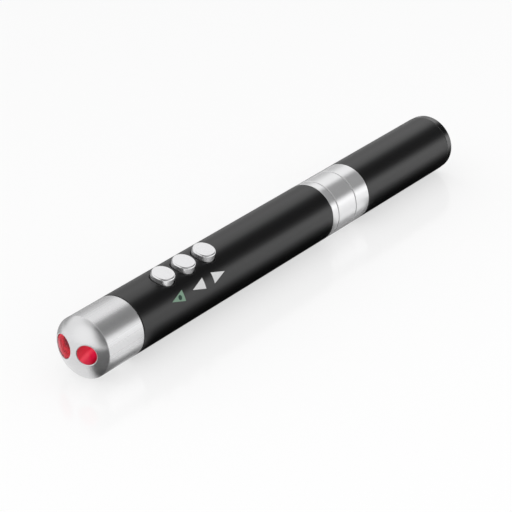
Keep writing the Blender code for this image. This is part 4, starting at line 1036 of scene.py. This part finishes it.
# Soft lights and dark gaps that gloss shows: direction, inner and outer angle in degrees, brightness added
SKY = 0.93
DARKEST = 0.04
LOBES = (
    ((0.74, -0.37, 0.56), 14, 30, -0.9),
    ((-0.34, -0.78, 0.52), 8, 54, -0.8),
    ((0.74, -0.67, 0.0), 8, 24, 0.35),
    ((-0.3, -0.05, 0.95), 8, 38, -0.3),
    ((0.2, 0.97, 0.05), 14, 34, -0.6),
    ((0.74, 0.67, 0.0), 6, 36, -0.5),
    ((-0.95, 0.1, 0.2), 20, 45, 0.15),
)


def build_world():
    """Plain white light and background all round. Gloss sees soft lights and dark gaps in it."""
    world = bpy.data.worlds.new("studio")
    bpy.context.scene.world = world
    world.use_nodes = True
    tree = world.node_tree
    tree.nodes.clear()
    direction = add(tree, "ShaderNodeTexCoord").outputs["Generated"]
    total = SKY
    for towards, inner, outer, strength in LOBES:
        dot = add(
            tree,
            "ShaderNodeVectorMath",
            [(0, direction), (1, Vector(towards).normalized())],
            operation="DOT_PRODUCT",
        ).outputs["Value"]
        lobe = add(
            tree,
            "ShaderNodeMapRange",
            [
                ("Value", dot),
                ("From Min", math.cos(math.radians(outer))),
                ("From Max", math.cos(math.radians(inner))),
                ("To Max", strength),
            ],
            interpolation_type="SMOOTHSTEP",
        ).outputs["Result"]
        total = add(tree, "ShaderNodeMath", [(0, total), (1, lobe)], operation="ADD").outputs[0]
    total = add(tree, "ShaderNodeMath", [(0, total), (1, DARKEST)], operation="MAXIMUM").outputs[0]
    gloss = add(tree, "ShaderNodeBackground", [("Color", total)]).outputs[0]
    plain = add(tree, "ShaderNodeBackground", [("Color", (1.0, 1.0, 1.0, 1.0))]).outputs[0]
    rays = add(tree, "ShaderNodeLightPath").outputs["Is Glossy Ray"]
    seen = add(tree, "ShaderNodeMixShader", [("Fac", rays), (1, plain), (2, gloss)]).outputs[0]
    add(tree, "ShaderNodeOutputWorld", [("Surface", seen)])


def flat_sheet(name, low_corner, high_corner, height):
    """A level sheet between two corners (x, y), facing up."""
    (left, near), (right, far) = low_corner, high_corner
    corners = [(left, near, height), (right, near, height), (right, far, height), (left, far, height)]
    mesh = bpy.data.meshes.new(name)
    mesh.from_pydata(corners, [], [(0, 1, 2, 3)])
    sheet = bpy.data.objects.new(name, mesh)
    bpy.context.scene.collection.objects.link(sheet)
    return sheet


# Painted shade in reflections: the dark sheets below stand where there is only shade, and darken what the pen's
# surfaces mirror
# Dark flags on the floor that only reflections see: two corners (x, y) of each, the widths of its soft
# edges (along the pen, at its near side, at its far side), how much it covers, and how far its ends
# slant with distance from the pen's axis, as the reflections do
SLANT = 0.9
PAINTED_SHADE_FLAGS = {
    "painted_shade_below_nose": (
        (TIP - 6 * MM, -11 * MM), (NOSE_END - 1 * MM, -3.2 * MM), (3 * MM, 4 * MM, 3 * MM), 0.85, SLANT
    ),
    "painted_shade_below_front": (
        (NOSE_END - 4 * MM, -27 * MM), (BARREL_END + 1 * MM, 60 * MM), (3 * MM, 18 * MM, 45 * MM), 1.0, SLANT
    ),
    "painted_shade_below_band": (
        (BARREL_END - 4 * MM, -13 * MM), (BAND_END + 1 * MM, 0.0), (3 * MM, 5 * MM, 4 * MM), 0.75, SLANT
    ),
    "painted_shade_below_rear": (
        (BAND_END - 4 * MM, -27 * MM), (-TIP + 20 * MM, 60 * MM), (3 * MM, 18 * MM, 45 * MM), 1.0, SLANT
    ),
    "painted_shade_in_front": (
        (-150 * MM, -400 * MM), (TIP + 13 * MM, -1.5 * MM), (8 * MM, 50 * MM, 4 * MM), 0.93, 0.0
    ),
    "painted_shade_ahead": ((-160 * MM, -10 * MM), (TIP + 2 * MM, 80 * MM), (6 * MM, 8 * MM, 40 * MM), 0.1, 0.0),
    "painted_shade_behind": ((-90 * MM, 15 * MM), (300 * MM, 400 * MM), (20 * MM, 16 * MM, 50 * MM), 0.6, 0.0),
}
FLAG_LIFT = 0.03 * MM


def soft_painted_shade(name, low_corner, high_corner, edges, cover, slant):
    """Painted shade for reflections: black card whose cover grows from its edges inwards as a smooth step. From
    below it is clear.
    """
    material, tree, shader, place = finish("black_card_" + name, linear("0A0A0A"), Roughness=0.9)
    axes = add(tree, "ShaderNodeSeparateXYZ", [("Vector", place)]).outputs
    away = add(tree, "ShaderNodeMath", [(0, axes["Y"])], operation="ABSOLUTE").outputs[0]
    drift = add(tree, "ShaderNodeMath", [(0, away), (1, slant)], operation="MULTIPLY").outputs[0]
    along = add(tree, "ShaderNodeMath", [(0, axes["X"]), (1, drift)], operation="SUBTRACT").outputs[0]
    along_edge, near_edge, far_edge = edges
    sides = (
        (along, low_corner[0], along_edge),
        (along, high_corner[0], -along_edge),
        (axes["Y"], low_corner[1], near_edge),
        (axes["Y"], high_corner[1], -far_edge),
    )
    for axis, side, inwards in sides:
        share = add(
            tree,
            "ShaderNodeMapRange",
            [("Value", axis), ("From Min", side), ("From Max", side + inwards)],
            interpolation_type="SMOOTHSTEP",
        ).outputs["Result"]
        cover = add(tree, "ShaderNodeMath", [(0, cover), (1, share)], operation="MULTIPLY").outputs[0]
    below = add(tree, "ShaderNodeNewGeometry").outputs["Backfacing"]
    front = add(tree, "ShaderNodeMath", [(0, 1.0), (1, below)], operation="SUBTRACT").outputs[0]
    cover = add(tree, "ShaderNodeMath", [(0, cover), (1, front)], operation="MULTIPLY").outputs[0]
    clear = add(tree, "ShaderNodeBsdfTransparent").outputs[0]
    mixed = add(tree, "ShaderNodeMixShader", [("Fac", cover), (1, clear), (2, shader.outputs[0])]).outputs[0]
    tree.links.new(mixed, tree.nodes["Material Output"].inputs["Surface"])
    return material


def build_painted_shade():
    """Painted shade: black card in thin layers on the floor, seen by reflections alone, darkens the pen's lower
    half.
    """
    for order, (name, (low_corner, high_corner, edges, cover, slant)) in enumerate(PAINTED_SHADE_FLAGS.items(), 1):
        reach = slant * max(abs(low_corner[1]), abs(high_corner[1]))
        far_corner = (high_corner[0] + reach, high_corner[1])
        flag = flat_sheet(name, low_corner, far_corner, AXIS_HEIGHT - PEN_RADIUS + order * FLAG_LIFT)
        flag.data.materials.append(soft_painted_shade(name, low_corner, high_corner, edges, cover, slant))
        for ray in ("camera", "diffuse", "transmission", "volume_scatter", "shadow"):
            setattr(flag, "visible_" + ray, False)


def build_floor():
    """A sheet of polished white acrylic. To the eye and in reflections a share of it is plain white."""
    half = FLOOR_SIZE / 2
    floor = flat_sheet("floor", (-half, -half), (half, half), AXIS_HEIGHT - PEN_RADIUS)
    material, tree, shader, _ = finish("polished_white_acrylic", (1.0, 1.0, 1.0), Roughness=0.12, IOR=1.8)
    rays = add(tree, "ShaderNodeLightPath").outputs
    seen = rays["Is Camera Ray"]
    for ray in (rays["Is Glossy Ray"], rays["Is Transmission Ray"]):
        seen = add(tree, "ShaderNodeMath", [(0, seen), (1, ray)], operation="MAXIMUM").outputs[0]
    share = add(tree, "ShaderNodeMapRange", [("Value", seen), ("To Max", BACKGROUND_SHARE)]).outputs[0]
    white = add(tree, "ShaderNodeEmission", [("Color", (1.0, 1.0, 1.0, 1.0))]).outputs[0]
    mixed = add(tree, "ShaderNodeMixShader", [("Fac", share), (1, shader.outputs[0]), (2, white)]).outputs[0]
    tree.links.new(mixed, tree.nodes["Material Output"].inputs["Surface"])
    floor.data.materials.append(material)


# Operators, in the order in which they are run


class PEN_OT_nose_cap(bpy.types.Operator):
    """Builds the nose cap with its domed front and two ports"""

    bl_idname = "pen.nose_cap"
    bl_label = "Nose cap"

    def execute(self, context):
        build_nose_cap()
        return {"FINISHED"}


class PEN_OT_windows(bpy.types.Operator):
    """Builds the two red windows and the faceted reflector behind the larger one"""

    bl_idname = "pen.windows"
    bl_label = "Windows and reflector"

    def execute(self, context):
        # Both have an index below that of acrylic, matched to panes that mirror little of the room
        cloudy = tinted("dyed_red_acrylic_with_painted_highlights", colours().laser_window, 0.05, ior=1.36, clear=0.1)
        clear = tinted("clear_red_acrylic", colours().emitter_window, 0.03, ior=1.12, clear=0.95)
        # The smaller pane's colour carries a painted highlight along a diagonal
        painted_highlight_streak(cloudy)
        # A painted highlight, pale and less clear, round the edge of each pane
        painted_edge_highlight(cloudy, LASER_OFFSET, LASER_PORT - SEAT_GAP)
        painted_edge_highlight(clear, EMITTER_OFFSET, EMITTER_PORT - SEAT_GAP / 2)
        build_window("laser_window", LASER_OFFSET, LASER_PORT, cloudy)
        build_window("emitter_window", EMITTER_OFFSET, EMITTER_PORT, clear, PANE_THICKNESS)
        build_sleeve()
        build_reflector()
        return {"FINISHED"}


class PEN_OT_front_barrel(bpy.types.Operator):
    """Builds the front barrel with its three key holes"""

    bl_idname = "pen.front_barrel"
    bl_label = "Front barrel"

    def execute(self, context):
        build_front_barrel()
        return {"FINISHED"}


class PEN_OT_keys(bpy.types.Operator):
    """Builds the three chromed keys"""

    bl_idname = "pen.keys"
    bl_label = "Keys"

    def execute(self, context):
        build_keys()
        return {"FINISHED"}


class PEN_OT_marks(bpy.types.Operator):
    """Prints the three triangles and the dot beside the keys"""

    bl_idname = "pen.marks"
    bl_label = "Printed marks"

    def execute(self, context):
        build_marks()
        return {"FINISHED"}


class PEN_OT_band(bpy.types.Operator):
    """Builds the three polished rings of the band"""

    bl_idname = "pen.band"
    bl_label = "Band"

    def execute(self, context):
        build_band()
        return {"FINISHED"}


class PEN_OT_collar(bpy.types.Operator):
    """Builds the threaded collar and its seal"""

    bl_idname = "pen.collar"
    bl_label = "Collar and seal"

    def execute(self, context):
        build_collar()
        return {"FINISHED"}


class PEN_OT_rear_barrel(bpy.types.Operator):
    """Builds the rear barrel with its neck"""

    bl_idname = "pen.rear_barrel"
    bl_label = "Rear barrel"

    def execute(self, context):
        build_rear_barrel()
        return {"FINISHED"}


class PEN_OT_tail_plug(bpy.types.Operator):
    """Builds the glossy plug at the tail"""

    bl_idname = "pen.tail_plug"
    bl_label = "Tail plug"

    def execute(self, context):
        build_tail_plug()
        return {"FINISHED"}


class PEN_OT_inner_parts(bpy.types.Operator):
    """Gives the optics, electronics, cells and springs their finishes"""

    bl_idname = "pen.inner_parts"
    bl_label = "Inner parts"

    def execute(self, context):
        dress_inner_nodes()
        return {"FINISHED"}


class PEN_OT_stage(bpy.types.Operator):
    """Sets up the floor, the flags of painted shade for reflections, the light and the camera"""

    bl_idname = "pen.stage"
    bl_label = "Stage"

    def execute(self, context):
        build_floor()
        # Dark sheets that only reflections see: painted shade under and round the pen
        build_painted_shade()
        build_world()
        build_camera()
        context.scene.view_settings.view_transform = "Standard"
        return {"FINISHED"}


OPERATORS = (
    PEN_OT_nose_cap,
    PEN_OT_windows,
    PEN_OT_front_barrel,
    PEN_OT_keys,
    PEN_OT_marks,
    PEN_OT_band,
    PEN_OT_collar,
    PEN_OT_rear_barrel,
    PEN_OT_tail_plug,
    PEN_OT_inner_parts,
    PEN_OT_stage,
)


class PEN_PT_sidebar(bpy.types.Panel):
    """Lists the pen's sizes, colours and pieces"""

    bl_idname = "PEN_PT_sidebar"
    bl_label = "Laser pointer pen"
    bl_space_type = "VIEW_3D"
    bl_region_type = "UI"
    bl_category = "Pen"

    def draw(self, context):
        for group in (context.scene.pen_sizes, context.scene.pen_colours):
            column = self.layout.column(align=True)
            for name in group.__annotations__:
                column.prop(group, name)
        for operator in OPERATORS:
            self.layout.operator(operator.bl_idname)


CLASSES = (PenSizes, PenColours, *OPERATORS, PEN_PT_sidebar)


def register():
    for item in CLASSES:
        bpy.utils.register_class(item)
    bpy.types.Scene.pen_sizes = bpy.props.PointerProperty(type=PenSizes)
    bpy.types.Scene.pen_colours = bpy.props.PointerProperty(type=PenColours)


def unregister():
    del bpy.types.Scene.pen_colours
    del bpy.types.Scene.pen_sizes
    for item in reversed(CLASSES):
        bpy.utils.unregister_class(item)


def main():
    """Builds everything in order."""
    register()
    for operator in OPERATORS:
        module, name = operator.bl_idname.split(".")
        getattr(getattr(bpy.ops, module), name)()


if __name__ == "__main__":
    main()
